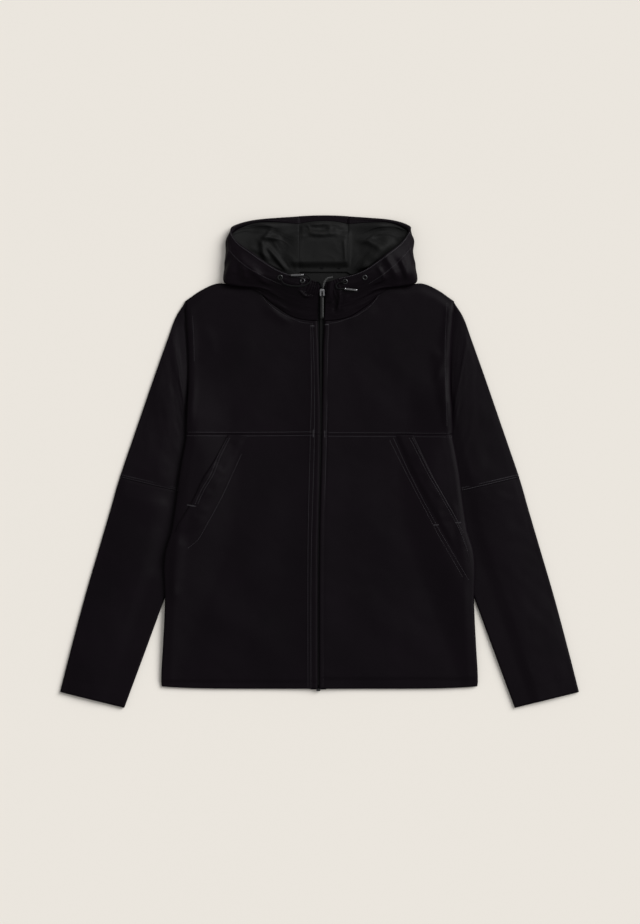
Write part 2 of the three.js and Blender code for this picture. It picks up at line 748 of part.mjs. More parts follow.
function hoodGrid(side) {
  return HOOD_LINES.map((up) => {
    const row = [];
    for (let column = 0; column <= HOOD_COLUMNS; column += 1) {
      row.push(hoodPoint(side, column / HOOD_COLUMNS, up));
    }
    return row;
  });
}

const hoodGrids = { 1: hoodGrid(1), "-1": hoodGrid(-1) };

// Draws the line of points at the seam between lining and facing back from it by half the seam gap
function trimmed(lines, atEnd) {
  const seam = atEnd ? lines.length - 1 : 0;
  const inside = atEnd ? seam - 1 : 1;
  return lines.map((row, line) => {
    if (line !== seam) return row;
    return row.map((p, column) => {
      const reach = p.distanceTo(lines[inside][column]);
      return p.clone().lerp(lines[inside][column], reach > SEAM_GAP ? (SEAM_GAP * 0.6) / reach : 0);
    });
  });
}

// A stretch of the side's grid moved in by a depth, from one line to another. Where "first" gives a
// later line for a column, the layer starts there and leaves the neck free.
function hoodLayer(side, from, to, firstColumn, depth, wall, first = () => 0, last = () => to) {
  const grid = hoodGrids[side];
  const cut = (rows) => {
    const lines = [];
    for (let line = from; line <= to; line += 1) {
      const kept = (column) => Math.min(last(column), Math.max(line, first(column)));
      lines.push(rows[line].map((p, column) => rows[kept(column)][column]).slice(firstColumn));
    }
    if (to === FACING_LINE) return trimmed(lines, true);
    return from === FACING_LINE ? trimmed(lines, false) : lines;
  };
  return sheetSolid(cut(offsetGrid(grid, depth, side)), cut(offsetGrid(grid, depth + wall, side)));
}

// Round the tight corner of the rim the lining stops a line short of the facing band
function liningEnd(column) {
  return column > 13 && column < 21 ? FACING_LINE - 1 : FACING_LINE;
}

// The lining is sewn to the back neck and hangs free of the front neck
function liningStart(column) {
  return Math.min(4, Math.max(0, 16 - column));
}

function hoodCentreGrid(margin) {
  const right = hoodGrids[1].map((row) => row[HOOD_COLUMNS]);
  const left = hoodGrids[-1].map((row) => row[HOOD_COLUMNS]);
  return right.map((end, line) => {
    const start = left[line];
    const row = [];
    for (let step = 0; step <= 6; step += 1) {
      const share = step / 6;
      const x = mix(start.x + margin, end.x - margin, share);
      const rise = (HOOD_TOP_Y - end.y) * HOOD_LINES[line] ** 4 * (1 - (2 * share - 1) ** 2);
      row.push(new THREE.Vector3(x, end.y + rise, 0));
    }
    return row;
  });
}

function hoodCentreLayer(from, to, depth, wall) {
  const grid = hoodCentreGrid(SEAM_GAP);
  const lines = grid.slice(from, to + 1);
  const cut = from === FACING_LINE || to === FACING_LINE ? trimmed(lines, to === FACING_LINE) : lines;
  return sheetSolid(raised(cut, depth), raised(cut, depth + wall));
}

// Height of the hood's outer face near the zip, at a point in plan
function hoodTop(x, y) {
  const height = facetHeight(hoodGrids[x > zipMiddle(y) ? 1 : -1].map((row) => row.slice(0, 8)), x, y);
  return height ?? 0;
}

// Zip

function zipHeight(y) {
  const onBody = frontBottom(zipMiddle(y), Math.min(y, NECK_Y)) - 0.4;
  const share = (y - NECK_Y) / (COLLAR_TOP_Y - NECK_Y);
  const onCollar = mix(HOOD_SIDE[0].nz, HOOD_SIDE[0].rz, share) - CLOTH - 1.0;
  return mix(onBody, onCollar, smooth((y - NECK_Y + 8) / 16));
}

// Strips along the zip share their stations, so that their facets run side by side
const ZIP_STATIONS = [
  -376, -345, -313, -281, -249, -217, -185, -153, -121, -89, -57, -25, 7, 39, 71, 103, 135, 165, 190,
  208, 219, 227, 235, 243, 252, 262, 273,
];

function stripGeometry(from, to, edges, lift, wall) {
  const stations = [from, ...ZIP_STATIONS.filter((y) => y > from + 1 && y < to - 1), to];
  const grid = stations.map((y) => edges(y).map((x) => new THREE.Vector3(x, y, zipHeight(y) + lift)));
  return sheetSolid(raised(grid, wall), grid);
}

function tapeGeometry(side) {
  const edges = (y) => [zipMiddle(y) + side * (SEAM_GAP / 2), zipMiddle(y) + side * TAPE_HALF];
  return stripGeometry(TAPE_END_Y, TAPE_TOP_Y, edges, -COIL_WALL - TAPE_WALL - SEAM_GAP, TAPE_WALL);
}

function coilGeometry() {
  const edges = (y) => [zipMiddle(y) - COIL_HALF, zipMiddle(y) + COIL_HALF];
  return stripGeometry(COIL_END_Y, SLIDER.y - SLIDER.length / 2 - SEAM_GAP, edges, -COIL_WALL, COIL_WALL);
}

// Joins closed geometries into one solid
function joined(geometries) {
  const solids = geometries.map((geometry) => {
    for (const attribute of Object.keys(geometry.attributes)) {
      if (attribute !== "position") geometry.deleteAttribute(attribute);
    }
    const merged = mergeVertices(geometry, 1e-4);
    const vertProperties = new Float32Array(merged.attributes.position.array);
    const triVerts = new Uint32Array(merged.index.array);
    return new wasm.Manifold(new wasm.Mesh({ numProp: 3, vertProperties, triVerts }));
  });
  const mesh = solids.reduce((whole, solid) => whole.add(solid)).getMesh();
  const geometry = new THREE.BufferGeometry();
  geometry.setAttribute("position", new THREE.Float32BufferAttribute(mesh.vertProperties, 3));
  geometry.setIndex(new THREE.BufferAttribute(mesh.triVerts, 1));
  geometry.computeVertexNormals();
  return geometry;
}

// A block with rounded corners in plan, standing on z = 0
function plateGeometry(width, length, height, corner) {
  const [w, l] = [width / 2, length / 2];
  const outline = new THREE.Shape();
  outline.moveTo(-w + corner, -l);
  outline.lineTo(w - corner, -l);
  outline.absarc(w - corner, -l + corner, corner, -Math.PI / 2, 0, false);
  outline.lineTo(w, l - corner);
  outline.absarc(w - corner, l - corner, corner, 0, Math.PI / 2, false);
  outline.lineTo(-w + corner, l);
  outline.absarc(-w + corner, l - corner, corner, Math.PI / 2, Math.PI, false);
  outline.lineTo(-w, -l + corner);
  outline.absarc(-w + corner, -l + corner, corner, Math.PI, Math.PI * 1.5, false);
  return new THREE.ExtrudeGeometry(outline, { depth: height, bevelEnabled: false, curveSegments: 4 });
}

// A tube through points, as rings of eight corners
function tubeGeometry(points, radius, steps) {
  const curve = new THREE.CatmullRomCurve3(points, false, "centripetal");
  const section = new THREE.Shape();
  for (let corner = 0; corner < 8; corner += 1) {
    const turn = (corner * Math.PI) / 4;
    const [x, y] = [radius * Math.cos(turn), radius * Math.sin(turn)];
    if (corner) section.lineTo(x, y);
    else section.moveTo(x, y);
  }
  section.closePath();
  const along = { steps, extrudePath: curve, bevelEnabled: false, curveSegments: 1 };
  return new THREE.ExtrudeGeometry(section, along);
}

function pointsOf(table) {
  return table.map((row) => new THREE.Vector3(row.x, row.y, row.z));
}

// The metal tip goes on from the cord's end
function tipGeometry(table, tipEnd) {
  const end = pointsOf(table).pop();
  const along = new THREE.Vector3(tipEnd.x, tipEnd.y, tipEnd.z).sub(end).normalize();
  const middle = end.clone().addScaledVector(along, SEAM_GAP + TIP.length / 2);
  const geometry = new THREE.CylinderGeometry(TIP.radius, TIP.radius, TIP.length, 12);
  geometry.applyQuaternion(new THREE.Quaternion().setFromUnitVectors(new THREE.Vector3(0, 1, 0), along));
  geometry.translate(middle.x, middle.y, middle.z);
  return geometry;
}

function loopGeometry() {
  const curve = new THREE.CatmullRomCurve3(LOOP_LINE.map((row) => new THREE.Vector3(row.x, row.y, 0)));
  const floor = CLOTH + LINING_GAP + LINING + SEAM_GAP;
  const grid = [];
  for (let step = 0; step <= 24; step += 1) {
    const point = curve.getPoint(step / 24);
    const along = curve.getTangent(step / 24);
    const rise = 2.2 * Math.sin((Math.PI * step) / 24);
    grid.push(
      [-0.5, 0.5].map((side) => {
        const reach = side * LOOP.width;
        return new THREE.Vector3(point.x - along.y * reach, point.y + along.x * reach, floor + rise);
      }),
    );
  }
  return sheetSolid(raised(grid, LOOP.wall), grid);
}

// A soft fold beside the slider, from the collar's edge over its own top
function guardGeometry() {
  const grid = [];
  for (let row = 0; row <= 8; row += 1) {
    const up = row / 8;
    const line = [];
    for (let column = 0; column <= 4; column += 1) {
      const across = column / 4;
      const x = mix(GUARD.x0, GUARD.x1, across) + 3 * up * up;
      const y = mix(GUARD.y0, GUARD.y1, up);
      const dome = GUARD.bulge * Math.sin(Math.PI * across) * smooth(up * 2.5);
      line.push(new THREE.Vector3(x, y, highestNear(hoodGrids[1], x, y, 2) + LAYER_GAP + dome));
    }
    grid.push(line);
  }
  return sheetSolid(raised(grid, GUARD.wall), grid);
}

// A pressed ring with a hole, standing on the cloth and turned to its slope
function eyeletGeometry(row) {
  const grid = hoodGrids[row.side];
  const step = 3;
  const height = facetHeight(grid.map((line) => line.slice(0, 12)), row.x, row.y);
  const slopeX = (hoodTop(row.x + step, row.y) - hoodTop(row.x - step, row.y)) / (2 * step);
  const slopeY = (hoodTop(row.x, row.y + step) - hoodTop(row.x, row.y - step)) / (2 * step);
  const normal = new THREE.Vector3(-slopeX, -slopeY, 1).normalize();
  const { outer, hole, height: rim } = EYELET;
  const profile = [
    [hole, 0],
    [outer, 0],
    [outer - 0.5, rim * 0.7],
    [(outer + hole) / 2, rim],
    [hole + 0.3, rim * 0.8],
    [hole, 0],
  ];
  const geometry = new THREE.LatheGeometry(
    profile.map(([radius, along]) => new THREE.Vector2(radius, along)),
    14,
  );
  geometry.applyQuaternion(new THREE.Quaternion().setFromUnitVectors(new THREE.Vector3(0, 1, 0), normal));
  const seat = new THREE.Vector3(row.x, row.y, height).addScaledVector(normal, 0.8);
  geometry.translate(seat.x, seat.y, seat.z);
  return geometry;
}

// Materials

const softshell = new THREE.MeshStandardMaterial({ color: 0x151216, roughness: 0.86, metalness: 0 });
const liningCloth = new THREE.MeshStandardMaterial({ color: 0x212121, roughness: 0.8, metalness: 0 });
const zipCloth = new THREE.MeshStandardMaterial({ color: 0x19171a, roughness: 0.7, metalness: 0 });
const metal = new THREE.MeshStandardMaterial({ color: 0xb9b9bd, roughness: 0.3, metalness: 1 });
const cordCloth = new THREE.MeshStandardMaterial({ color: 0x1b1a1c, roughness: 0.8, metalness: 0 });

const jacket = new THREE.Group();

function add(name, geometry, material) {
  const mesh = new THREE.Mesh(geometry, material);
  mesh.name = name;
  jacket.add(mesh);
}

add("back", backGeometry(), softshell);
for (const [word, side] of [["left", 1], ["right", -1]]) {
  const front = frontGrids[side];
  const chest = chestGrids[side];
  add("front_" + word, sheetSolid(raised(front, CLOTH), front), softshell);
  add("chest_" + word, sheetSolid(raised(chest, CLOTH), chest), softshell);
  add("pocket_welt_" + word, weltGeometry(side, side > 0 ? WELT_LEFT : WELT_RIGHT), softshell);
  add("sleeve_upper_" + word, sleeveGeometry(side, 0, ELBOW_STATION - SLEEVE_CUT, 9), softshell);
  const forearm = sleeveGeometry(side, ELBOW_STATION + SLEEVE_CUT, SLEEVE.length - 1, 8);
  add("sleeve_lower_" + word, forearm, softshell);
  add("hood_side_" + word, hoodLayer(side, 0, RIM_LINE, 0, 0, CLOTH), softshell);
  const lining = hoodLayer(side, 0, FACING_LINE, 3, INSIDE_HOOD, LINING, liningStart, liningEnd);
  add("hood_lining_" + word, lining, liningCloth);
  add("hood_facing_" + word, hoodLayer(side, FACING_LINE, RIM_LINE, 1, INSIDE_HOOD, FACING), softshell);
  add("zip_tape_" + word, tapeGeometry(side), zipCloth);
}
add("hood_centre", hoodCentreLayer(0, RIM_LINE, 0, CLOTH), softshell);
add("hood_lining_centre", hoodCentreLayer(0, FACING_LINE, INSIDE_HOOD, LINING), liningCloth);
add("hood_facing_top", hoodCentreLayer(FACING_LINE, RIM_LINE, INSIDE_HOOD, FACING), softshell);
add("zip_coil", coilGeometry(), zipCloth);
for (const row of EYELETS) add(row.name, eyeletGeometry(row), metal);
add("cord_left", tubeGeometry(pointsOf(CORD_LEFT), CORD_RADIUS, 22), cordCloth);
add("cord_right", tubeGeometry(pointsOf(CORD_RIGHT), CORD_RADIUS, 34), cordCloth);
add("cord_tip_left", tipGeometry(CORD_LEFT, TIP_END_LEFT), metal);
add("cord_tip_right", tipGeometry(CORD_RIGHT, TIP_END_RIGHT), metal);
add("hang_loop", loopGeometry(), zipCloth);
add("zip_guard", guardGeometry(), softshell);
add("zip_coil_end_left", tubeGeometry(pointsOf(COIL_END_LEFT), COIL_END_RADIUS, 12), zipCloth);
add("zip_coil_end_right", tubeGeometry(pointsOf(COIL_END_RIGHT), COIL_END_RADIUS, 7), zipCloth);

const stopY = (HEM_Y + TAPE_END_Y) / 2;
const stop = plateGeometry(STOP.width, STOP.length, STOP.height, STOP.corner);
stop.translate(zipMiddle(TAPE_END_Y), stopY, zipHeight(HEM_Y) - COIL_WALL);
add("zip_stop", stop, metal);

// The slider and its tab lie along the slope of the collar
const collarSlope = Math.atan2(HOOD_SIDE[0].rz - HOOD_SIDE[0].nz, COLLAR_TOP_Y - NECK_Y);
const sliderGroup = new THREE.Group();
sliderGroup.position.set(zipMiddle(SLIDER.y), SLIDER.y, zipHeight(SLIDER.y) + SEAM_GAP);
sliderGroup.rotation.x = collarSlope;
jacket.add(sliderGroup);

const pinHeight = SLIDER.height + SLIDER.pinRise;
const lugPlace = PULL.neck / 2 + SEAM_GAP + SLIDER.lug / 2;
const lugs = [-1, 1].map((side) => {
  const lug = new THREE.BoxGeometry(SLIDER.lug, SLIDER.lugLength, SLIDER.lugRise + 2 * SLIDER.lugSunk);
  lug.translate(side * lugPlace, 0, SLIDER.height + SLIDER.lugRise / 2 - SLIDER.lugSunk);
  return lug;
});
const pin = new THREE.CylinderGeometry(SLIDER.pinRadius, SLIDER.pinRadius, 2 * lugPlace, 12);
pin.rotateZ(Math.PI / 2);
pin.translate(0, 0, pinHeight);
const sliderBody = plateGeometry(SLIDER.width, SLIDER.length, SLIDER.height, SLIDER.corner);
const slider = new THREE.Mesh(joined([sliderBody, ...lugs, pin]), metal);
slider.name = "zip_slider";
sliderGroup.add(slider);

// The tab's eye is an open ring round the pin; its plate goes on from the ring, down the zip
const eyeOutline = new THREE.Shape();
eyeOutline.absarc(0, 0, PULL.hole + PULL.eye, 0, Math.PI * 2, false);
const eyeHole = new THREE.Path();
eyeHole.absarc(0, 0, PULL.hole, 0, Math.PI * 2, true);
eyeOutline.holes.push(eyeHole);
const eye = new THREE.ExtrudeGeometry(eyeOutline, {
  depth: PULL.neck,
  bevelEnabled: false,
  curveSegments: 10,
});
eye.rotateY(Math.PI / 2);
eye.translate(-PULL.neck / 2, 0, 0);
const neckStart = -(PULL.hole + PULL.eye * 0.5);
const neck = plateGeometry(PULL.neck, PULL.neckLength, PULL.wall, 0.2);
neck.translate(0, neckStart - PULL.neckLength / 2, -PULL.wall / 2);
const plateLength = PULL.length - PULL.neckLength;
const plate = plateGeometry(PULL.width, plateLength, PULL.wall, PULL.corner);
plate.translate(0, neckStart - PULL.neckLength + 1 - plateLength / 2, -PULL.wall / 2);
const pull = new THREE.Mesh(joined([eye, neck, plate]), metal);
pull.name = "zip_pull";
pull.position.set(0, 0, pinHeight);
sliderGroup.add(pull);

export default jacket;
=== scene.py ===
"""A hooded softshell jacket, zipped up and laid flat with its front up, seen from straight above.

The tables are in millimetres on the jacket laid flat: x to the wearer's left, y to the hood, z up.
"""
import math

import bpy
import numpy as np
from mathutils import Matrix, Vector


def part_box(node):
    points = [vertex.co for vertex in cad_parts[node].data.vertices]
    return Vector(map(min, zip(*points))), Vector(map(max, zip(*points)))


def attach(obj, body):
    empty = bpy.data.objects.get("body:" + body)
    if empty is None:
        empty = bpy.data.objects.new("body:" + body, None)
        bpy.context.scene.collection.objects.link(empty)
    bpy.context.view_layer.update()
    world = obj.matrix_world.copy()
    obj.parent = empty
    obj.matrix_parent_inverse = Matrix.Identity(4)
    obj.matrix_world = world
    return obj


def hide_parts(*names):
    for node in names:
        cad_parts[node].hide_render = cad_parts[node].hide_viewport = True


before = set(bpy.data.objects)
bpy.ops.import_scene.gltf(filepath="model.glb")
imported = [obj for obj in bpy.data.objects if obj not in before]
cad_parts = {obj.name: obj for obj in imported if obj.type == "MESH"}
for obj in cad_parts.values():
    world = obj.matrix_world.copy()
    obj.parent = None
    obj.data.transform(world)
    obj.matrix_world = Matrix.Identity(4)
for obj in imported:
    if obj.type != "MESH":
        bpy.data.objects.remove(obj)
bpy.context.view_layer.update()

MM = 0.001

# Cloth and seams
CLOTH = 1.6
LINING = 0.9
LINING_GAP = 1.5
SEAM_GAP = 0.3
LAYER_GAP = 0.4
FACING = 1.4
BODY_GAP = 2.4
WELT = 1.2
GRID_STEP = 2.6
SEAM_LAP = 1.7
ZIP_LAP = 0.8

# Half width of the groove that a row of stitches presses into the cloth
ROW_WIDTH = 1.2

# Body
HEM_Y = -376.8
HEM_DEPTH = 17
RIGHT_HEM_DEEPER = 4
CHEST_SEAM_Y = 44.8
NECK_Y = 233
COLLAR_TOP_Y = 295
NECK_LINED_Y = 262
UNDERARM_Y = 45
SLEEVE_RISE = 6.9
RISE_START = 34
RISE_END = 9
SLEEVE_TUCKED = 4.9
SLEEVE_FREE = 6.4
CUFF_HEIGHT = 6.0
SLEEVE_CROWN = 1.6
RISE_TOP_Y = 72
BACK_RISE_FADE = 36

# The fronts rise over the sleeves more gently than the back under them
FRONT_RISE_REACH = 44
FRONT_RISE_FADE = 90

# Zip tapes and teeth
TAPE = 0.9
TAPE_WIDTH = 13
TAPE_BELOW_COIL = 2.3
TAPE_START_Y = -378
TAPE_END_Y = 289
TEETH_START_Y = -369.8
TEETH_END_Y = 272
TEETH_ASIDE = 1.0
TEETH_BELOW_COIL = 0.2

# Edge of the body at its side, from the hem to the underarm: y, half width
BODY_SIDE = [
    (-377, 261.0), (-363, 262.6), (-296, 259.0), (-246, 256.6), (-223, 256.2), (-177, 257.8),
    (-148, 255.0), (-117, 245.6), (-72, 238.4), (-28, 233.0), (8, 226.8), (45, 219.4),
]

# Seam of the sleeve on the front, from the underarm to the shoulder: y, half width
ARMHOLE = [(45, 219.4), (95, 217.2), (130, 215.6), (190, 217.0), (240, 220.0), (265, 221.6)]

# Line of the zip: y, its middle, half of the slit
ZIP_LINE = [
    (-377, -2.0, 1.9), (-147, -1.6, 1.9), (45, 2.2, 2.1), (200, 2.4, 4.4),
    (233, 2.6, 5.6), (262, 3.4, 5.4), (282, 4.6, 4.6), (300, 5.6, 6.0),
]

# Neck seam of a front from the zip to the shoulder, and the neck edge of the back: half width, y
NECK_SEAM = [(5, 233), (26, 234.4), (48, 240.4), (70, 254), (88, 268), (101, 284), (106, 300)]
SHOULDER = (221.6, 265)
SHOULDER_LINE = [(106, 300), (140, 292.6), (170, 295.2), (199, 282.6), (221.6, 265.6)]
BACK_NECK = [(106, 300), (99, 312), (84, 318), (60, 318.4), (40, 318.4)]
NECK_SHARE = 0.76

# Stations of a sleeve laid flat: outer x, outer y, inner x, inner y
SLEEVE = [
    (222.6, 265, 220.4, 45), (240, 238, 215, 28), (253, 200, 209, 8), (276, 135, 206, -12),
    (303.5, 55, 206, -33), (331.5, -27, 208, -56), (346.5, -79, 213, -96), (366.5, -147, 228, -152),
    (388.5, -222, 255, -222), (411, -306, 288, -312), (430.4, -382, 323.7, -408.4),
]
ELBOW = 5

# One side of the hood, lines from the neck or the centre seam to the rim, each through five points
HOOD_SIDE = [
    ((5, 233.6, 7.0), (5, 250, 11), (5, 266, 15), (5, 281, 19), (4, 296, 22)),
    ((27, 235.2, 7.0), (26, 252, 12), (23, 268, 17), (19, 284, 22), (16, 299, 24)),
    ((49, 241.2, 7.2), (47, 257, 12), (43, 272, 18), (37, 289, 24), (31, 304, 26)),
    ((71, 254.8, 7.4), (71, 268, 11), (69, 281, 17), (62, 296, 25), (54, 309, 28)),
    ((89, 268.8, 7.6), (96, 280, 9.5), (99, 290, 17), (90, 305, 26), (75, 318, 29)),
    ((102, 284.6, 7.6), (122, 289, 8.0), (132, 292, 15), (119, 313, 26), (95, 332, 29)),
    ((107, 300.6, 4.8), (139, 295, 5.6), (159, 297, 12), (142, 320, 24), (112, 345, 27)),
    ((99.6, 312.8, 0.6), (140, 314, 1.2), (158, 320, 9), (149, 337, 19), (129, 357, 23)),
    ((85, 318.8, 0), (134, 335, 0), (154.5, 344, 8.5), (151, 355, 16.5), (141, 368, 20)),
    ((72, 318.8, 0), (122, 352, 0), (152.5, 366, 6.5), (152.5, 374, 13), (148, 381, 16.5)),
    ((60, 318.8, 0), (100, 364, 0), (131, 381, 1.2), (140, 387, 4.4), (145, 391, 8.4)),
    ((50, 318.8, 0), (73, 365, 0), (92, 387, 0), (103, 397, 1.2), (110, 401.4, 3)),
    ((39, 318.8, 0), (39, 343, 0), (39, 368, 0), (39, 392, 0), (39, 406.9, 0)),
]
HOOD_SHIFT = 7

# Columns of the solids along a hood side; the linings begin and end on them
HOOD_SHARES = 22
HOOD_TOP_Y = 408.4
FACING_START = 0.78

# Pocket welts, outer x, y and inner x, y, from the chest seam down
WELTS = {
    1: [(155.5, 43.6, 122.5, 43.6), (175, 2, 143.5, -5), (193, -34, 158.5, -36), (211, -66, 174.5, -66),
        (228.5, -98, 193.5, -102), (243, -136, 213, -138), (250, -172, 240, -184)],
    -1: [(152, 43.6, 115.5, 43.6), (173, 4, 132.5, 12), (193, -28, 149, -26), (209, -62, 163, -56),
         (224, -88, 176.5, -84), (236, -108, 190, -108), (241, -122, 214, -134)],
}

# Rows of stitches beside the zip: side, then y and distance from the zip's middle
ZIP_ROWS = [
    (-1, [(-374, 12.3), (-200, 12.3), (-50, 11.2), (44, 10.8), (130, 10.9), (200, 12.6), (228, 14.2)]),
    (-1, [(-374, 17.2), (-200, 17.4), (-50, 17.8), (40, 17.4), (120, 15.9), (228, 17.0)]),
    (1, [(-374, 8.2), (-280, 8.2), (-50, 8.6), (44, 9.2), (130, 10.2), (200, 11.4), (226, 12.2)]),
]

# Rows of stitches on the fronts, in plan
FRONT_ROWS = [
    [(-216, 48.6), (-120, 48.4), (-14, 49.4)],
    [(-219, 42.6), (-120, 42.3), (-14, 43.4)],
    [(16, 47.8), (120, 47.4), (214, 46.6)],
    [(16, 41.6), (120, 41.4), (218, 40.6)],
    [(-18, 229.4), (-30, 231), (-49, 238.2), (-62, 244.4), (-75, 253.4), (-88, 265), (-97, 277)],
    [(18, 229.4), (30, 231), (42.3, 235.4), (57.3, 240), (68.1, 246), (79.8, 254), (90, 264), (98.5, 276)],
    [(123, 38), (143, -6), (157.5, -36), (173.5, -67), (192.5, -103), (206, -127), (225, -159), (246, -195)],
    [(117, 34), (137.5, -7), (152, -36), (168, -67), (187, -103), (200, -128), (219, -160), (236, -190)],
    [(-130, 11), (-147, -27), (-160, -55.6), (-174, -82.2), (-187, -105.4), (-200, -128), (-217, -143)],
    [(211, 262), (208, 190), (208.6, 130), (211, 60)],
    [(-210.5, 240), (-208.5, 205), (-207.6, 168)],
]

# Rows of stitches on the pocket bands, in plan
BAND_ROWS = {
    1: [[(149.2, 38), (156.9, 24.1), (179.8, -21.4), (198.9, -54), (223.3, -97.1), (233.2, -117),
         (244.5, -147)],
        [(154, 38), (161.4, 24.1), (184.2, -21.4), (203.3, -54), (227.7, -97.1), (237.4, -117)]],
    -1: [[(-153.6, 38), (-168.1, 9.1), (-180.2, -21.4), (-194.7, -46.1), (-205.3, -68.9)],
         [(-149.2, 38), (-163.7, 9.1), (-175.8, -21.4), (-190.3, -46.1), (-201, -68.9)]],
}

# Rows of stitches on the hood's sides, in plan
HOOD_STITCHES = {
    1: [[(151, 353), (139.4, 339.5), (124.5, 324.5), (104.4, 307.9), (82.2, 294.1)]],
    -1: [[(-150, 349), (-128, 327), (-100, 309), (-78.9, 298.8), (-63.9, 292.5)],
         [(-24, 281), (-18, 277.6), (-11, 274)]],
}

# Bar tacks: the two ends of each, in plan
BAR_TACKS = [
    [(-10.4, 52.3), (-10.4, 40.7)], [(8.6, 50.6), (8.6, 40.7)], [(-219, -72), (-205, -74)],
    [(189, -105.4), (197, -104.6)], [(225, -101.6), (234, -101)],
    [(9.2, 227), (15, 227)], [(-9, 224.6), (-15, 224.6)],
]

# Free cord ends and their metal tips, the same points as the solids'
CORD_DIAMETER = 2.6
CORDS = {
    "right": [(-64.7, 303.8, 27.6), (-64.6, 303.2, 30.6), (-62.8, 298.6, 30.4), (-58.4, 293.6, 27.2),
              (-50.5, 290.9, 26.1), (-42, 289.6, 26.0), (-33, 289.4, 26.2), (-24.5, 290.6, 26.2),
              (-17.8, 294.4, 26.3), (-15.2, 300.4, 27.4), (-18.4, 305.8, 29.3), (-23.2, 307.6, 29.8),
              (-25.6, 307.7, 29.8)],
    "left": [(42.3, 297, 26.4), (42.1, 296.8, 29.4), (37.6, 296.0, 29.2), (32.6, 295.2, 27.2),
             (28.8, 292.9, 26.2), (27.4, 289.6, 25.6), (28.9, 286.6, 25.2), (32.6, 285.1, 25.2),
             (38, 285.3, 25.6), (40.6, 285.2, 25.7)],
}
TIP_ENDS = {"right": (-45, 307.2, 29.7), "left": (64, 282.7, 23.6)}
TIP_RADIUS = 2.0
TIP_LENGTH = 22

# Rows of stitches round a sleeve, by their distances from the elbow's seam, up along the sleeve
ELBOW_ROWS = (1.7, 5.3)
UP_SLEEVE = (-0.275, 0.96)
LOWEST_STITCH = 0.4

EYELETS = {
    "eyelet_left_inner": (42.3, 297),
    "eyelet_left_outer": (74.9, 303.6),
    "eyelet_right_inner": (-28.2, 298.8),
    "eyelet_right_outer": (-64.7, 303.8),
}


# Camera: straight above, with the photograph's frame

PICTURE_HEIGHT = 1.5338
PICTURE_MIDDLE = (0.0008, -0.0008)
LENS = 100
FILM = 36

camera_data = bpy.data.cameras.new("camera")
camera_data.lens = LENS
camera_data.sensor_width = FILM
camera = bpy.data.objects.new("camera", camera_data)
camera.location = (*PICTURE_MIDDLE, PICTURE_HEIGHT * LENS / FILM)
bpy.context.scene.collection.objects.link(camera)
bpy.context.scene.camera = camera
bpy.context.scene.view_settings.view_transform = "Standard"


# Small tools

def smooth(value):
    share = np.clip(value, 0, 1)
    return share * share * (3 - 2 * share)


def mix(start, end, share):
    return start + (end - start) * share


def bell(distance, width):
    """1 on a line, and fading to nothing about two widths away from it."""
    return np.exp(-((distance / width) ** 2))


def spline_through(points, position):
    """A smooth line through the second last axis of points, at fractional row numbers."""
    before = 2 * points[..., :1, :] - points[..., 1:2, :]
    after = 2 * points[..., -1:, :] - points[..., -2:-1, :]
    padded = np.concatenate([before, points, after], axis=-2)
    start = np.clip(np.floor(position).astype(int), 0, points.shape[-2] - 2)
    share = (position - start)[..., None]
    p0, p1, p2, p3 = (
        np.take_along_axis(padded, (start + step)[..., None, None], axis=-2)[..., 0, :]
        for step in range(4)
    )
    return p1 + 0.5 * share * (
        p2 - p0 + share * (2 * p0 - 5 * p1 + 4 * p2 - p3 + share * (3 * (p1 - p2) + p3 - p0))
    )


def spline(rows, position):
    rows = np.asarray(rows, float)
    position = np.asarray(position, float)
    return spline_through(np.broadcast_to(rows, position.shape + rows.shape), position)


def by_height(rows, y):
    """The other columns of a table at the height y."""
    rows = np.asarray(rows, float)
    return spline(rows[:, 1:], np.interp(y, rows[:, 0], np.arange(len(rows))))


def beside_line(x, y, points):
    """Distance from a line of points in plan, and how far along it, from 0 to 1."""
    points = np.asarray(points, float)
    lengths = np.hypot(*np.diff(points, axis=0).T)
    starts = np.cumsum(lengths) - lengths
    nearest = np.full(np.shape(x), np.inf)
    share = np.zeros(np.shape(x))
    for (x0, y0), (x1, y1), length, start in zip(points[:-1], points[1:], lengths, starts):
        at = np.clip(((x - x0) * (x1 - x0) + (y - y0) * (y1 - y0)) / length**2, 0, 1)
        distance = np.hypot(x - x0 - at * (x1 - x0), y - y0 - at * (y1 - y0))
        share = np.where(distance < nearest, (start + at * length) / lengths.sum(), share)
        nearest = np.minimum(nearest, distance)
    return nearest, share


def folds_at(x, y, folds):
    """Height of soft ridges and troughs; each is (half width, height, points) and fades at its ends."""
    height = np.zeros(np.shape(x))
    for width, rise, points in folds:
        distance, share = beside_line(x, y, points)
        fade = smooth(share / 0.3) * smooth((1 - share) / 0.3)
        height += rise * bell(distance, width) * fade
    return height


def unevenness(u, v, size, seed):
    """Smooth bumps from -1 to 1, about size apart, from a seeded lattice."""
    count = 97
    lattice = np.random.default_rng(seed).uniform(-1, 1, (count, count))
    a = np.asarray(u, float) / size
    b = np.asarray(v, float) / size
    i = np.floor(a).astype(int)
    j = np.floor(b).astype(int)
    s = smooth(a - i)
    t = smooth(b - j)
    corner = lattice[i % count, j % count]
    east = lattice[(i + 1) % count, j % count]
    north = lattice[i % count, (j + 1) % count]
    far = lattice[(i + 1) % count, (j + 1) % count]
    return mix(mix(corner, east, s), mix(north, far, s), t)


def creases(u, v, size, seed):
    """Crumpled cloth: narrow ridges with wide hollows between them, from 0 to 1."""
    bent_u = u + size * 0.5 * unevenness(u, v, size * 1.7, seed + 1)
    bent_v = v + size * 0.5 * unevenness(u, v, size * 1.7, seed + 2)
    return 1 - np.minimum(1, 2.2 * np.abs(unevenness(bent_u, bent_v, size, seed)))


# Body heights: near the solids' own, with the finer relief on top

def zip_middle(y):
    return by_height(ZIP_LINE, y)[..., 0]


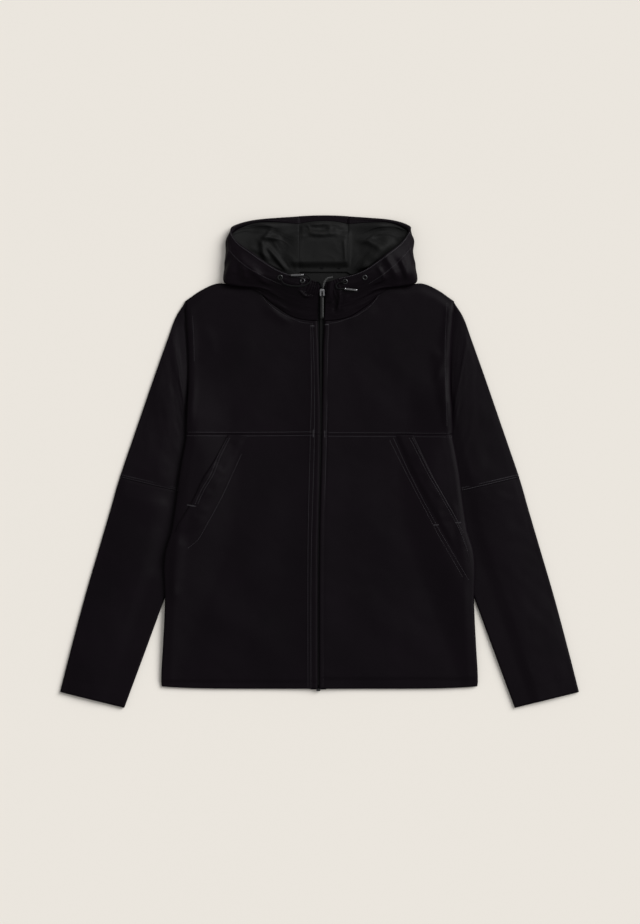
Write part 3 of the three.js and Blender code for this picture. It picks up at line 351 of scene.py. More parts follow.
def zip_edge(side, y):
    line = by_height(ZIP_LINE, y)
    return line[..., 0] * side + line[..., 1]


def body_side(y):
    return np.where(y < UNDERARM_Y, by_height(BODY_SIDE, y)[..., 0], by_height(ARMHOLE, y)[..., 0])


SLEEVE_INNER = [(row[3], row[2]) for row in reversed(SLEEVE)]


def rise_over_sleeve(x, y, reach, fade):
    """How far the cloth lies up on a sleeve's inner edge."""
    edge = by_height(SLEEVE_INNER, np.minimum(y, UNDERARM_Y))[..., 0]
    start = RISE_START + reach
    across = smooth((np.abs(x) - (edge - start)) / (start - RISE_END))
    return SLEEVE_RISE * across * (1 - smooth((y - RISE_TOP_Y) / fade))


def back_rise(x, y):
    return rise_over_sleeve(x, y, 0, BACK_RISE_FADE)


def front_rise(x, y):
    return np.maximum(back_rise(x, y), rise_over_sleeve(x, y, FRONT_RISE_REACH, FRONT_RISE_FADE))


def shoulder_distance(x, y):
    return beside_line(np.abs(x), y, SHOULDER_LINE)[0]


# Broad folds, two of them lower than in the solids, then the finer ones: half width, height, points in plan
BROAD_FOLDS = [
    (12, 2.6, [(-232, -140), (-244, -215)]),
    (11, 0.4, [(-214, 20), (-206, 150)]),
    (9, 1.7, [(206, 100), (196, 175)]),
    (10, 0.8, [(208, 120), (212, 60)]),
    (26, 1.2, [(150, -240), (60, -330)]),
    (28, 1.3, [(-170, -250), (-90, -300)]),
    (24, 1.1, [(120, 180), (170, 110)]),
    (24, 1.1, [(-120, 190), (-160, 120)]),
]
FINE_FOLDS = [
    (5, 1.6, [(211, 190), (205, 168), (192, 128)]),
    (4, 0.8, [(203, 122), (205, 90), (209, 52)]),
    (6, 1.1, [(214, 235), (207, 205), (206, 176)]),
    (5, 0.8, [(-213, 240), (-209, 205), (-212, 150)]),
    (6, 0.5, [(-207, 140), (-212, 95), (-216, 52)]),
    (7, 0.6, [(-196, 232), (-180, 205), (-172, 170)]),
    (9, 0.9, [(-96, 262), (-74, 243), (-48, 228)]),
    (5, 0.8, [(-88, 262), (-66, 240), (-40, 226)]),
    (9, 0.9, [(98, 258), (70, 238), (40, 226)]),
    (8, 0.8, [(232, -92), (238, -150), (246, -205)]),
    (6, 0.9, [(219, -62), (229, -98), (237, -128)]),
    (7, 0.9, [(-226, -84), (-238, -130), (-250, -170)]),
    (30, 1.2, [(40, 170), (80, 110), (120, 60)]),
    (30, 1.0, [(-60, 180), (-90, 120), (-150, 70)]),
    (30, 1.1, [(60, -20), (90, -110), (150, -180)]),
    (34, 1.1, [(-60, -30), (-100, -130), (-110, -240)]),
    (22, 0.8, [(40, -200), (110, -270), (220, -330)]),
    (24, 0.8, [(-50, -250), (-140, -320), (-230, -350)]),
]


def body_space(x, y):
    at_shoulder = smooth((shoulder_distance(x, y) - 0.5) / 16)
    roll = smooth((body_side(y) - np.abs(x)) / 18)
    at_side = mix(roll, 1, smooth((y - 40) / 50))
    at_zip = 1.5 * bell(x - zip_middle(y), 34)
    broad = 0
    for width, rise, points in BROAD_FOLDS:
        broad = broad + rise * bell(beside_line(x, y, points)[0], width)
    return LAYER_GAP + BODY_GAP * at_shoulder * at_side + at_zip + broad * at_shoulder * at_side


def front_bottom(x, y):
    return front_rise(x, y) + CLOTH + body_space(x, y)


def pressed_rows(x, y, rows, depth):
    """How far rows of stitches press the cloth in."""
    pressed = 0
    for row in rows:
        pressed = pressed + depth * bell(beside_line(x, y, row)[0], ROW_WIDTH)
    return pressed


def placket_relief(x, y):
    """The fronts' edges at the zip: a fold over the tape, pressed down along its stitches."""
    offset = x - zip_middle(y)
    reach = np.abs(offset) - by_height(ZIP_LINE, y)[..., 1]
    edge = 0.75 * bell(reach - 2.6, 1.7) - 0.5 * bell(reach, 0.9)
    beside = -0.3 * bell(reach - 6.4, 1.2)
    pressed = 0
    for side, rows in ZIP_ROWS:
        row = by_height(rows, np.clip(y, rows[0][0], rows[-1][0]))[..., 0]
        pressed = pressed + 0.3 * bell(offset * side - row, 1.1)
    flap = 0.45 * smooth((offset + 20) / 2) * smooth((-2 - offset) / 4)
    return edge + beside - pressed + flap


def front_relief(x, y):
    """Folds, seams, the hem and the groove beside the armhole, above the front's broad form."""
    fine = folds_at(x, y, FINE_FOLDS)
    fine = fine + 0.5 * unevenness(x, y, 58, 3) + 0.16 * unevenness(x, y, 17, 4)
    inside = body_side(y) - np.abs(x)
    from_shoulder = shoulder_distance(x, y)
    keep = smooth(inside / 10) * smooth(from_shoulder / 10)
    seam = 0.35 * bell(y - CHEST_SEAM_Y, 2.4)
    pressed = pressed_rows(x, y, FRONT_ROWS, 0.22)
    above_hem = y - HEM_Y - HEM_DEPTH
    hem = 0.25 * bell(above_hem + RIGHT_HEM_DEEPER * (x < 0), 1.5)
    hem_fold = -0.9 * (1 - smooth((above_hem + 2 + RIGHT_HEM_DEEPER * (x < 0)) / 2.4))
    armhole = 2.3 * bell(inside - 6.5, 5.0) * smooth((from_shoulder - 4) / 20)
    armhole = armhole * mix(0.5 * smooth((y + 230) / 80), 0.9, smooth((y - 20) / 60))
    armhole = armhole * np.where(x > 0, 1, 0.3)
    return fine * keep + placket_relief(x, y) + seam - pressed - hem + hem_fold + armhole


def front_top(x, y):
    return front_bottom(x, y) + CLOTH + front_relief(x, y)


# Meshes

def placed(name, mesh):
    """A new object at the origin."""
    made = bpy.data.objects.new(name, mesh)
    bpy.context.scene.collection.objects.link(made)
    return made


def mesh_object(name, points, faces, uv=None):
    """A new smooth object; points in millimetres, uv one pair of metres per corner of each face."""
    mesh = bpy.data.meshes.new(name)
    mesh.from_pydata((np.asarray(points, float) * MM).tolist(), [], faces)
    if uv is not None:
        layer = mesh.uv_layers.new(name="Cloth")
        layer.data.foreach_set("uv", np.asarray(uv, np.float32).ravel())
    mesh.polygons.foreach_set("use_smooth", [True] * len(mesh.polygons))
    mesh.update()
    return placed(name, mesh)


def plan_uv(grid):
    return grid[..., :2] * MM


def laid_uv(grid, closed=False):
    """Lengths along the rows and the columns, so that a weave keeps its size on a curved cloth."""
    rows = np.concatenate([grid, grid[:, :1]], axis=1) if closed else grid
    across = np.zeros(rows.shape[:2])
    across[:, 1:] = np.cumsum(np.linalg.norm(np.diff(rows, axis=1), axis=2), axis=1)
    along = np.zeros(rows.shape[:2])
    along[1:] = np.cumsum(np.linalg.norm(np.diff(rows, axis=0), axis=2), axis=0)
    return np.stack([across, along], axis=-1) * MM


def shell(name, outer, inner, uv, closed=False):
    """A closed wall between two grids of points; a closed one is a tube, joined along its last column."""
    rows, columns = outer.shape[:2]
    points = np.concatenate([outer.reshape(-1, 3), inner.reshape(-1, 3)])
    ids = np.arange(rows * columns).reshape(rows, columns)
    if closed:
        ids = np.concatenate([ids, ids[:, :1]], axis=1)
    layer = rows * columns
    corners = [(0, 0), (0, 1), (1, 1), (1, 0)]
    height, width = ids.shape

    def quads(values):
        return np.stack([values[r:height - 1 + r, c:width - 1 + c] for r, c in corners], axis=2)

    top = quads(ids).reshape(-1, 4)
    top_uv = quads(uv).reshape(-1, 4, 2)
    faces = [top, top[:, ::-1] + layer]
    uvs = [top_uv, top_uv[:, ::-1]]
    edges = [(ids[0], uv[0]), (ids[-1][::-1], uv[-1][::-1])]
    if not closed:
        edges += [(ids[:, -1], uv[:, -1]), (ids[::-1, 0], uv[::-1, 0])]
    for line, line_uv in edges:
        faces.append(np.stack([line[1:], line[:-1], line[:-1] + layer, line[1:] + layer], axis=1))
        uvs.append(np.stack([line_uv[1:], line_uv[:-1], line_uv[:-1], line_uv[1:]], axis=1))
    faces = np.concatenate(faces)
    uvs = np.concatenate(uvs)
    a, b, c, d = (points[faces[:, corner]] for corner in range(4))
    volume = (a * np.cross(b, c)).sum() + (a * np.cross(c, d)).sum()
    if volume < 0:
        faces = faces[:, ::-1]
        uvs = uvs[:, ::-1]
    return mesh_object(name, points, faces.tolist(), uvs)


def raised(grid, height):
    return grid + np.array([0, 0, 1.0]) * np.asarray(height)[..., None]


def layer_on(name, under, thickness):
    """A cloth of one thickness, straight up from its under face."""
    return shell(name, raised(under, np.full(under.shape[:2], thickness)), under, plan_uv(under))


def normals_of(grid):
    normal = np.cross(np.gradient(grid, axis=1), np.gradient(grid, axis=0))
    length = np.linalg.norm(normal, axis=2, keepdims=True)
    return normal / np.maximum(length, 1e-9)


# Plan of a front: the share across is 0 at the zip and 1 at the side

def lower_plan(side, across, share):
    hem = HEM_Y + 4 * across**6
    y = mix(hem, CHEST_SEAM_Y, share)
    x = side * mix(zip_edge(side, y), body_side(y), across)
    return np.stack([x, y], axis=-1)


def chest_top(across):
    on_neck = spline(NECK_SEAM, column_of(np.minimum(across, NECK_SHARE)) / 6 * (len(NECK_SEAM) - 1))
    on_shoulder = spline(SHOULDER_LINE, np.clip(column_of(across) - 6, 0, 4))
    return np.where((across <= NECK_SHARE)[..., None], on_neck, on_shoulder)


ACROSS = [0, 0.06, 0.2, 0.36, 0.52, 0.66, 0.76, 0.84, 0.9, 0.95, 1]


def column_of(across):
    return np.interp(across, ACROSS, np.arange(len(ACROSS)))


def chest_plan(side, across, share):
    top = chest_top(across)
    y = mix(CHEST_SEAM_Y, top[..., 1], share)
    inner_base = zip_edge(side, np.array(CHEST_SEAM_Y))
    outer_base = body_side(np.array(CHEST_SEAM_Y))
    blend = smooth(share) * 0.5 + share * 0.5
    lean = mix(mix(inner_base, outer_base, across), top[..., 0], blend)
    inner = zip_edge(side, y) - mix(inner_base, NECK_SEAM[0][0], share)
    outer = body_side(y) - mix(outer_base, SHOULDER[0], share)
    return np.stack([side * (lean + inner * (1 - across) + outer * across), y], axis=-1)


def plan_grid(plan, side, columns, rows):
    across, share = np.meshgrid(np.linspace(0, 1, columns), np.linspace(0, 1, rows))
    grid = plan(side, across, share)
    lap = SEAM_LAP * smooth((across - 0.97) / 0.03) * smooth((grid[..., 1] - UNDERARM_Y + 12) / 24)
    over_coil = ZIP_LAP * smooth((0.02 - across) / 0.02) * smooth((215 - grid[..., 1]) / 30)
    grid[..., 0] += side * (lap - over_coil)
    return grid


def with_height(plan, heights):
    return np.concatenate([plan, heights[..., None]], axis=2)


FRONT_COLUMNS = int(250 / GRID_STEP)


def front_piece(name, side, plan, rows):
    grid = plan_grid(plan, side, FRONT_COLUMNS, rows)
    x, y = grid[..., 0], grid[..., 1]
    top = with_height(grid, front_top(x, y))
    bottom = with_height(grid, front_top(x, y) - CLOTH)
    rolled = smooth((body_side(y) - np.abs(x)) / 4.5 + 0.25)
    top[..., 2] -= 1.5 * (1 - rolled) * smooth((256 - y) / 16)
    return shell(name, top, bottom, plan_uv(top)), top


def back_piece():
    """The back panel lies under both fronts, up to the back neck."""
    columns = 60
    rows = 90
    halves = []
    for side in (-1, 1):
        lower = plan_grid(lower_plan, side, columns, rows)
        chest = plan_grid(chest_plan, side, columns, int(rows * 0.55))[1:]
        half = np.concatenate([lower, chest])
        halves.append(half[:, ::-1] if side < 0 else half)
    plan = np.concatenate(halves, axis=1)
    seam = plan[-1]
    half = np.abs(seam[:, 0])
    at = (1 - half / NECK_SEAM[-1][0]) * (len(BACK_NECK) - 1)
    upper = spline(BACK_NECK, np.clip(at, 0, len(BACK_NECK) - 1))
    inside = half < NECK_SEAM[-1][0] - 0.01
    upper_x = np.sign(seam[:, 0]) * np.where(at > 3, half, upper[:, 0])
    neck = np.stack([upper_x, upper[:, 1]], axis=-1)
    neck = np.where(inside[:, None], neck, seam)
    added = [mix(seam, neck, share) for share in np.linspace(0, 1, 14)[1:]]
    plan = np.concatenate([plan, np.stack(added)])
    x, y = plan[..., 0], plan[..., 1]
    keep = smooth((body_side(y) - np.abs(x)) / 22) * smooth((y - HEM_Y) / 14) * smooth((330 - y) / 24)
    wrinkle = 0.9 * np.maximum(0, unevenness(x, y, 74, 11)) + folds_at(x, y, BACK_FOLDS)
    bottom = with_height(plan, back_rise(x, y) + wrinkle * keep)
    return layer_on("back_panel", bottom, CLOTH)


BACK_FOLDS = [
    (9, 1.1, [(-190, 180), (-120, 130), (-40, 120)]),
    (9, 1.0, [(196, 170), (120, 118), (50, 104)]),
    (12, 0.9, [(-180, -60), (-100, -110), (-20, -130)]),
    (12, 1.0, [(170, -150), (90, -210), (10, -230)]),
    (10, 0.8, [(-200, -250), (-130, -300), (-50, -310)]),
]


# Sleeves

# Folds across a sleeve: place along it, middle and slant across it, half width along it, height
SLEEVE_FOLDS = [
    (0.16, 0.7, 0.3, 0.05, 1.2), (0.47, 0.35, -0.25, 0.04, 1.4), (0.56, 0.6, -0.2, 0.05, 1.6),
    (0.7, 0.5, 0.2, 0.06, 1.1), (0.85, 0.5, -0.12, 0.05, 1.0),
]
SLEEVE_LENGTH = 640
SLEEVE_WIDTH = 130


def sleeve_height(at):
    free = smooth((at - 8) / 1.2)
    cuff = smooth(at - (len(SLEEVE) - 2))
    return mix(mix(SLEEVE_TUCKED, SLEEVE_FREE, free), CUFF_HEIGHT, cuff)


def sleeve_lift(side, at, share):
    along = at / (len(SLEEVE) - 1)
    fold = np.zeros(np.broadcast(at, share).shape)
    for place, middle, slant, width, rise in SLEEVE_FOLDS:
        distance = (along - place - slant * (share - middle) * 0.3) / width
        fold = fold + rise * np.exp(-(distance**2) - ((share - middle) / 0.3) ** 2)
    free = smooth((share - 0.22) / 0.2) * smooth((1 - share) / 0.1)
    lowered = 1.3 * bell(at, 0.35) * smooth(share / 0.06) * smooth((1 - share) / 0.06)
    length = along * SLEEVE_LENGTH
    width = share * SLEEVE_WIDTH
    fine = 0.7 * unevenness(length, width, 46, 20 + side) + 0.25 * unevenness(length, width, 15, 23 + side)
    elbow = 0.25 * bell((at - ELBOW) * 64, 1.7)
    hem = 0.2 * bell((len(SLEEVE) - 1 - at) * 78 - 22, 1.7)
    relief = fold + SLEEVE_CROWN * np.sin(np.pi * share) + fine
    return free * relief * smooth((at - 0.2) / 1.5) - elbow - hem - lowered


def sleeve_ring(side, at, inset, top_count=56):
    """Rows of points round the flat tube, at the stations given, moved in by the inset."""
    at = np.asarray(at, float)[:, None]
    inset = np.broadcast_to(inset, at.shape[:1])[:, None]
    stations = spline(SLEEVE, at)
    outer_x, outer_y, inner_x, inner_y = np.moveaxis(stations, -1, 0)
    width = np.hypot(outer_x - inner_x, outer_y - inner_y)
    height = sleeve_height(at)
    round_radius = height / 2 - inset
    turns = np.radians(np.linspace(-90, 90, 9))[None]
    shares = np.linspace(0, 1, top_count)[1:-1][None]
    inner_round = height / 2 - round_radius * np.cos(turns)
    inner_z = height / 2 + round_radius * np.sin(turns)
    top = mix(height / 2, width - height / 2, shares)
    lift = sleeve_lift(side, at, top / width)
    top_z = height - inset + lift * np.where(inset > 1, 0.4, 1.0)
    outer_round = width - height / 2 + round_radius * np.cos(turns)
    bottom = top[:, ::-2]
    distance = np.concatenate([inner_round, top, outer_round[:, ::-1], bottom], axis=1)
    z = np.concatenate([inner_z, top_z, inner_z[:, ::-1], inset + np.zeros(bottom.shape)], axis=1)
    share = distance / width
    y = mix(inner_y, outer_y, share)
    bow = mix(ARMHOLE[0][1], SHOULDER[0], share) - by_height(ARMHOLE, y)[..., 0]
    x = side * (mix(inner_x, outer_x, share) - bow * (1 - smooth(at / 2.2)))
    beside_body = np.abs(x) - body_side(np.clip(y, HEM_Y, SHOULDER[1]))
    sunk = (2.6 if side < 0 else 0.8) * smooth((40 - beside_body) / 34)
    sunk = sunk * smooth((262 - y) / 40) * smooth((y + 200) / 30)
    z = z - sunk * smooth((z / height - 0.45) / 0.35)
    return np.stack([x, y, z], axis=-1)


def sleeve_piece(name, side, start, end, rows):
    at = np.linspace(start, end, rows)
    tucked = 0.4 * smooth((ELBOW + 0.02 - at) / 0.04) * (start > 1)
    outer = sleeve_ring(side, at, tucked)
    inner = sleeve_ring(side, at, CLOTH + tucked)
    return shell(name, outer, inner, laid_uv(outer, closed=True), closed=True)


# Hood

HOOD_COLUMNS = 170
HOOD_ROWS = 110
HOOD_LENGTH = 330
HOOD_WIDTH = 170
HOOD_POINTS = np.array(HOOD_SIDE, float)

# Soft folds in the hood's sides, as shares along the neck and up to the rim: half width, height, points
HOOD_FOLDS = [
    (0.022, 2.2, [(0.30, 0.55), (0.36, 0.72), (0.42, 0.86)]),
    (0.03, 1.8, [(0.44, 0.45), (0.50, 0.62), (0.55, 0.8)]),
    (0.018, -1.2, [(0.40, 0.5), (0.45, 0.66), (0.50, 0.84)]),
    (0.03, 1.2, [(0.22, 0.3), (0.30, 0.44), (0.40, 0.5)]),
    (0.02, 1.1, [(0.58, 0.5), (0.61, 0.7), (0.66, 0.86)]),
]

# Creases that show on the hood and its collar, in plan: half width, height, points
HOOD_CREASES = [
    (6, 3.6, [(104, 346), (116, 326), (126, 308), (131, 296)]),
    (6, 3.8, [(131, 340), (139, 318), (148, 299)]),
    (4, -1.6, [(127, 336), (134, 318), (140, 300)]),
    (3.5, 2.0, [(94, 324), (103, 310), (110, 296)]),
    (7, 1.8, [(-142, 344), (-118, 323), (-90, 303)]),
    (4, 1.4, [(-132, 330), (-124, 314), (-120, 296)]),
    (2.6, 3.0, [(32, 290), (34, 272), (29, 243)]),
    (3.4, -1.8, [(23, 276), (26, 262), (23, 246)]),
    (4, 1.6, [(50, 278), (41, 264), (35, 245)]),
    (2.4, 2.6, [(-26, 299), (-33, 283), (-24, 274), (-10, 273)]),
    (6, 1.6, [(-104, 286), (-80, 262), (-46, 246)]),
    (6, 1.4, [(104, 288), (84, 268), (56, 252)]),
]

# Gathers of the collar beside the zip: share along the neck, height
GATHERS = [(0.016, 1.3), (0.034, 1.5), (0.053, 1.4), (0.073, 1.5), (0.094, 1.2), (0.118, 1.0), (0.146, 0.7)]
GATHER_WIDTH = 0.0065


def hood_outer(side, along, up):
    """Outer face of a hood side without its fine folds."""
    at = along * (len(HOOD_SIDE) - 1)
    lines = spline(HOOD_POINTS.reshape(len(HOOD_SIDE), -1), at).reshape(at.shape + (5, 3))
    point = spline_through(lines, up * 4)
    near_seam = 1 - smooth(up * 4)
    y = point[..., 1] + SEAM_GAP * near_seam
    across_at = np.interp(at, np.arange(7), ACROSS[:7])
    follow = np.where(at < 6, 1 - across_at, (1 - NECK_SHARE) * (1 - smooth((at - 6) / 2)))
    half = point[..., 0] - 2 * SEAM_GAP * near_seam + follow * (zip_edge(side, y) - NECK_SEAM[0][0])
    shift = HOOD_SHIFT * smooth((at - 8) / 4)
    return np.stack([side * half + shift, y, np.maximum(0, point[..., 2])], axis=-1)


def hood_relief(side, along, up):
    """How far the hood's cloth stands out of its broad form."""
    form = hood_outer(side, along, up)
    relief = folds_at(along, up, HOOD_FOLDS) + folds_at(form[..., 0], form[..., 1], HOOD_CREASES)
    relief = relief + 0.5 * unevenness(along, up, 0.11, 31 + side)
    relief = relief + 0.2 * unevenness(along, up, 0.035, 33 + side)
    strength = smooth((up - 0.42) / 0.3) * (2.1 if side < 0 else 0.6)
    for place, rise in GATHERS:
        lean = place * (1 + 0.55 * (1 - up))
        relief = relief + strength * rise * bell(along - lean, GATHER_WIDTH)
    flat = smooth(up / 0.12) * smooth((0.93 - along) / 0.16)
    return relief * flat


hood_along, hood_up = np.meshgrid(np.linspace(0, 1, HOOD_COLUMNS), np.linspace(0, 1, HOOD_ROWS))


def hood_layer(side, along, up, depth):
    """Points of a layer at a depth under the outer face; depth may differ from point to point."""
    form = hood_outer(side, along, up)
    normal = normals_of(form) * side
    moved = form - normal * np.asarray(depth)[..., None]
    moved[..., 2] = np.maximum(moved[..., 2], np.minimum(np.asarray(depth), 12))
    return moved


def hood_side_piece(name, side):
    relief = hood_relief(side, hood_along, hood_up)
    outer = hood_layer(side, hood_along, hood_up, -relief)
    inner = hood_layer(side, hood_along, hood_up, CLOTH - relief * 0.5)
    outer[..., 2] = np.maximum(outer[..., 2], 0)
    return shell(name, outer, inner, laid_uv(outer)), outer


def lining_crumple(u, v, seed):
    """Crumpled lining, in millimetres above its broad form, by its own lengths."""
    return 3.0 * creases(u, v, 34, seed) + 1.6 * creases(u + 50, v + 80, 17, seed + 5)


# Folds in the lining of the sides, in plan: half width, height, points
LINING_FOLDS = [
    (11, 10, [(110, 384), (113, 360), (90, 336), (72, 316), (64, 300)]),
    (20, 4, [(100, 376), (98, 352), (80, 330)]),
    (5, 6, [(52, 370), (64, 367), (80, 366), (96, 356), (104, 344)]),
    (4, 5, [(-92, 366), (-85.5, 354.4), (-70, 336), (-52.3, 314.6), (-46, 306)]),
    (3.5, 4, [(-100, 372), (-90, 371), (-72, 370), (-62, 372)]),
    (3.5, 4.5, [(-74, 392), (-78, 387), (-89, 372), (-94, 360)]),
    (5, 6, [(-98, 374), (-95, 366), (-93, 346), (-84, 330)]),
    (7, 5, [(120, 390), (96, 393), (70, 390), (48, 394)]),
    (7, 5, [(-112, 384), (-90, 393), (-60, 392), (-36, 397)]),
]
LINING_RAISE = 8.5


def lining_rise(x, y):
    """The middle of the lining stands up over its slope at the wearer's right."""
    across = smooth((x + 64) / 30) * smooth((52 - x) / 7)
    return LINING_RAISE * across * smooth((y - 320) / 12) * smooth((384 - y) / 12)


def lining_side_piece(name, side):
    along, share = np.meshgrid(np.linspace(3 / HOOD_SHARES, 1, 130), np.linspace(0, 1, 80))
    start = np.interp(along * HOOD_SHARES, [12, 16], [0.4, -0.05])
    end = FACING_START - 0.1 * bell(along * HOOD_SHARES - 17, 2.6)
    up = mix(start, end, share)
    length = along * HOOD_LENGTH
    width = up * HOOD_WIDTH
    keep = smooth((1 - along) / 0.08) * smooth(share / 0.1) * smooth((1 - share) / 0.1)
    form = hood_outer(side, along, up)
    folds = folds_at(form[..., 0], form[..., 1], LINING_FOLDS)
    crumple = (0.55 * lining_crumple(length, width, 41 + side) + folds) * keep
    rise = lining_rise(form[..., 0], form[..., 1])
    crumple = crumple + rise * smooth(share / 0.1) * smooth((1 - share) / 0.1)
    base = CLOTH + LINING_GAP
    top = hood_layer(side, along, up, base + LINING + crumple)
    under = hood_layer(side, along, up, base + crumple)
    return shell(name, top, under, laid_uv(top))


def facing_side_piece(name, side):
    along, up = np.meshgrid(np.linspace(1 / HOOD_SHARES, 1, 150), np.linspace(FACING_START, 1, 26))
    base = CLOTH + LINING_GAP * smooth((1 - up) / 0.07) + 0.1
    wave = 0.5 * (1 + unevenness(along, up, 0.05, 51 + side)) * smooth((up - FACING_START) / 0.05)
    wave = wave * smooth((1 - up) / 0.06) * smooth((1 - along) / 0.08)
    top = hood_layer(side, along, up, base + FACING + wave)
    under = hood_layer(side, along, up, base + wave)
    return shell(name, top, under, laid_uv(top))


def centre_grid(start_up, end_up, columns, rows):
    """The hood's flat middle strip between the two sides."""
    up = np.linspace(start_up, end_up, rows)
    right = hood_outer(1, np.ones(rows), up)
    left = hood_outer(-1, np.ones(rows), up)
    share = np.linspace(0, 1, columns)[None, :, None]
    grid = mix(left[:, None] - [SEAM_LAP, 0, 0], right[:, None] + [SEAM_LAP, 0, 0], share)
    rise = (HOOD_TOP_Y - right[:, 1]) * up**4
    grid[..., 1] = right[:, None, 1] + rise[:, None] * (1 - (2 * share[..., 0] - 1) ** 2)
    grid[..., 2] = 0
    return grid


def hood_centre_piece():
    return layer_on("hood_centre_panel", centre_grid(0, 1, 40, 60), CLOTH)


# Folds in the lining over the middle strip, seen through the hood's opening: half width, height, points
CENTRE_FOLDS = [
    (5, 6.0, [(-30, 382), (2, 378), (46, 381)]),
    (6, 8.0, [(-34, 400), (-5, 396), (20, 399), (48, 393)]),
    (4, -2.5, [(-28, 373), (6, 371), (40, 373)]),
    (3, 3.0, [(40, 372), (43, 345), (44, 324)]),
    (5, 4.0, [(8, 388), (26, 386), (44, 390)]),
]


def lining_centre_piece():
    grid = centre_grid(-0.05, FACING_START, 60, 80)
    x, y = grid[..., 0], grid[..., 1]
    edge = smooth((0.5 - np.abs(np.linspace(0, 1, 60)[None] - 0.5)) / 0.08)
    ends = smooth((y - 318) / 8) * smooth((y[-1:] - y) / 8)
    crumple = lining_crumple(x, y, 61) * smooth((y - 366) / 14) + 0.5 * lining_crumple(x, y, 63) * 0.4
    height = CLOTH + LINING_GAP + (crumple + folds_at(x, y, CENTRE_FOLDS)) * edge * ends + lining_rise(x, y)
    return layer_on("hood_lining_middle", raised(grid, np.maximum(height, CLOTH + 0.3)), LINING)


def facing_centre_piece():
    grid = centre_grid(FACING_START, 1, 40, 24)
    share = np.linspace(0, 1, 24)[:, None]
    height = CLOTH + LINING_GAP * smooth((1 - share) / 0.3) + 0.1 + np.zeros(grid.shape[:2])
    return layer_on("hood_facing_middle", raised(grid, height), FACING)


# A flat band on the front, such as a pocket welt

def welt_piece(name, side):
    rows = 110
    columns = 16
    at = np.linspace(0, len(WELTS[side]) - 1, rows)
    edges = spline(WELTS[side], at)
    share = np.linspace(0, 1, columns)
    x = side * mix(edges[:, None, 2], edges[:, None, 0], share)
    y = mix(edges[:, None, 3], edges[:, None, 1], share)
    pucker = 0.35 * unevenness(x, y, 9, 71 + side) + 0.4 * unevenness(x, y, 26, 73 + side)
    edge = smooth((1 - share) / 0.08 + 0.4)
    length = np.linspace(0, 1, rows)[:, None]
    blend = smooth(share / 0.35) * smooth((1 - length) / 0.3)
    pressed = pressed_rows(x, y, BAND_ROWS[side], 0.3)
    lift = mix(-0.25 - WELT, 0.35, blend) + (0.5 + pucker) * blend * edge - pressed * blend
    under = np.stack([x, y, front_top(x, y) + lift], axis=-1)
    return layer_on(name, under, WELT), raised(under, np.full(x.shape, WELT))


# Zip

def zip_height(y):
    on_body = front_bottom(zip_middle(y), np.minimum(y, NECK_Y)) - 0.4
    share = (y - NECK_Y) / (COLLAR_TOP_Y - NECK_Y)
    on_collar = mix(HOOD_SIDE[0][0][2], HOOD_SIDE[0][4][2], share) - CLOTH - 1.0
    return mix(on_body, on_collar, smooth((y - NECK_Y + 8) / 16))


def zip_tape_piece(name, side):
    y = np.linspace(TAPE_START_Y, TAPE_END_Y, 220)
    share = np.linspace(0, 1, 8)[None]
    x = zip_middle(y)[:, None] + side * mix(SEAM_GAP / 2, TAPE_WIDTH, share)
    height = (zip_height(y) - TAPE_BELOW_COIL)[:, None] + np.zeros(x.shape)
    under = np.stack([x, np.broadcast_to(y[:, None], x.shape), height], axis=-1)
    return layer_on(name, under, TAPE)


STEEP = 0.25
NEAR = 3.5


def height_on(grids, x, y):
    """Height of the uppermost face of some grids at points in plan, from the nearest points' own slopes."""
    points = np.concatenate([grid.reshape(-1, 3) for grid in grids])
    normals = np.concatenate([normals_of(grid).reshape(-1, 3) for grid in grids])
    steep = np.abs(normals[:, 2]) < STEEP
    points, normals = points[~steep], normals[~steep]
    found = []
    for px, py in zip(np.ravel(x), np.ravel(y)):
        distance = np.hypot(points[:, 0] - px, points[:, 1] - py)
        near = np.flatnonzero(distance < max(NEAR, distance.min() + 0.5))
        best = near[np.argmax(points[near, 2] - 2 * distance[near])]
        p, n = points[best], normals[best]
        found.append(p[2] - (n[0] * (px - p[0]) + n[1] * (py - p[1])) / n[2])
    return np.array(found).reshape(np.shape(x))


# Tubes and turned pieces

LINE_FINENESS = 40
ROW_FINENESS = 60


def evenly(points, fineness, count=None, step=None):
    """Points evenly spaced on a smooth line through the ones given: so many, or about a step apart."""
    fine = spline(points, np.linspace(0, len(points) - 1, fineness * len(points)))
    reach = np.concatenate([[0], np.cumsum(np.linalg.norm(np.diff(fine, axis=0), axis=1))])
    if count is None:
        count = max(2, int(reach[-1] / step))
    even = np.linspace(0, reach[-1], count)
    return np.stack([np.interp(even, reach, column) for column in fine.T], axis=-1)


def rounded_line(points, count):
    return evenly(points, LINE_FINENESS, count=count)


def row_of(points, step):
    return evenly(points, ROW_FINENESS, step=step)


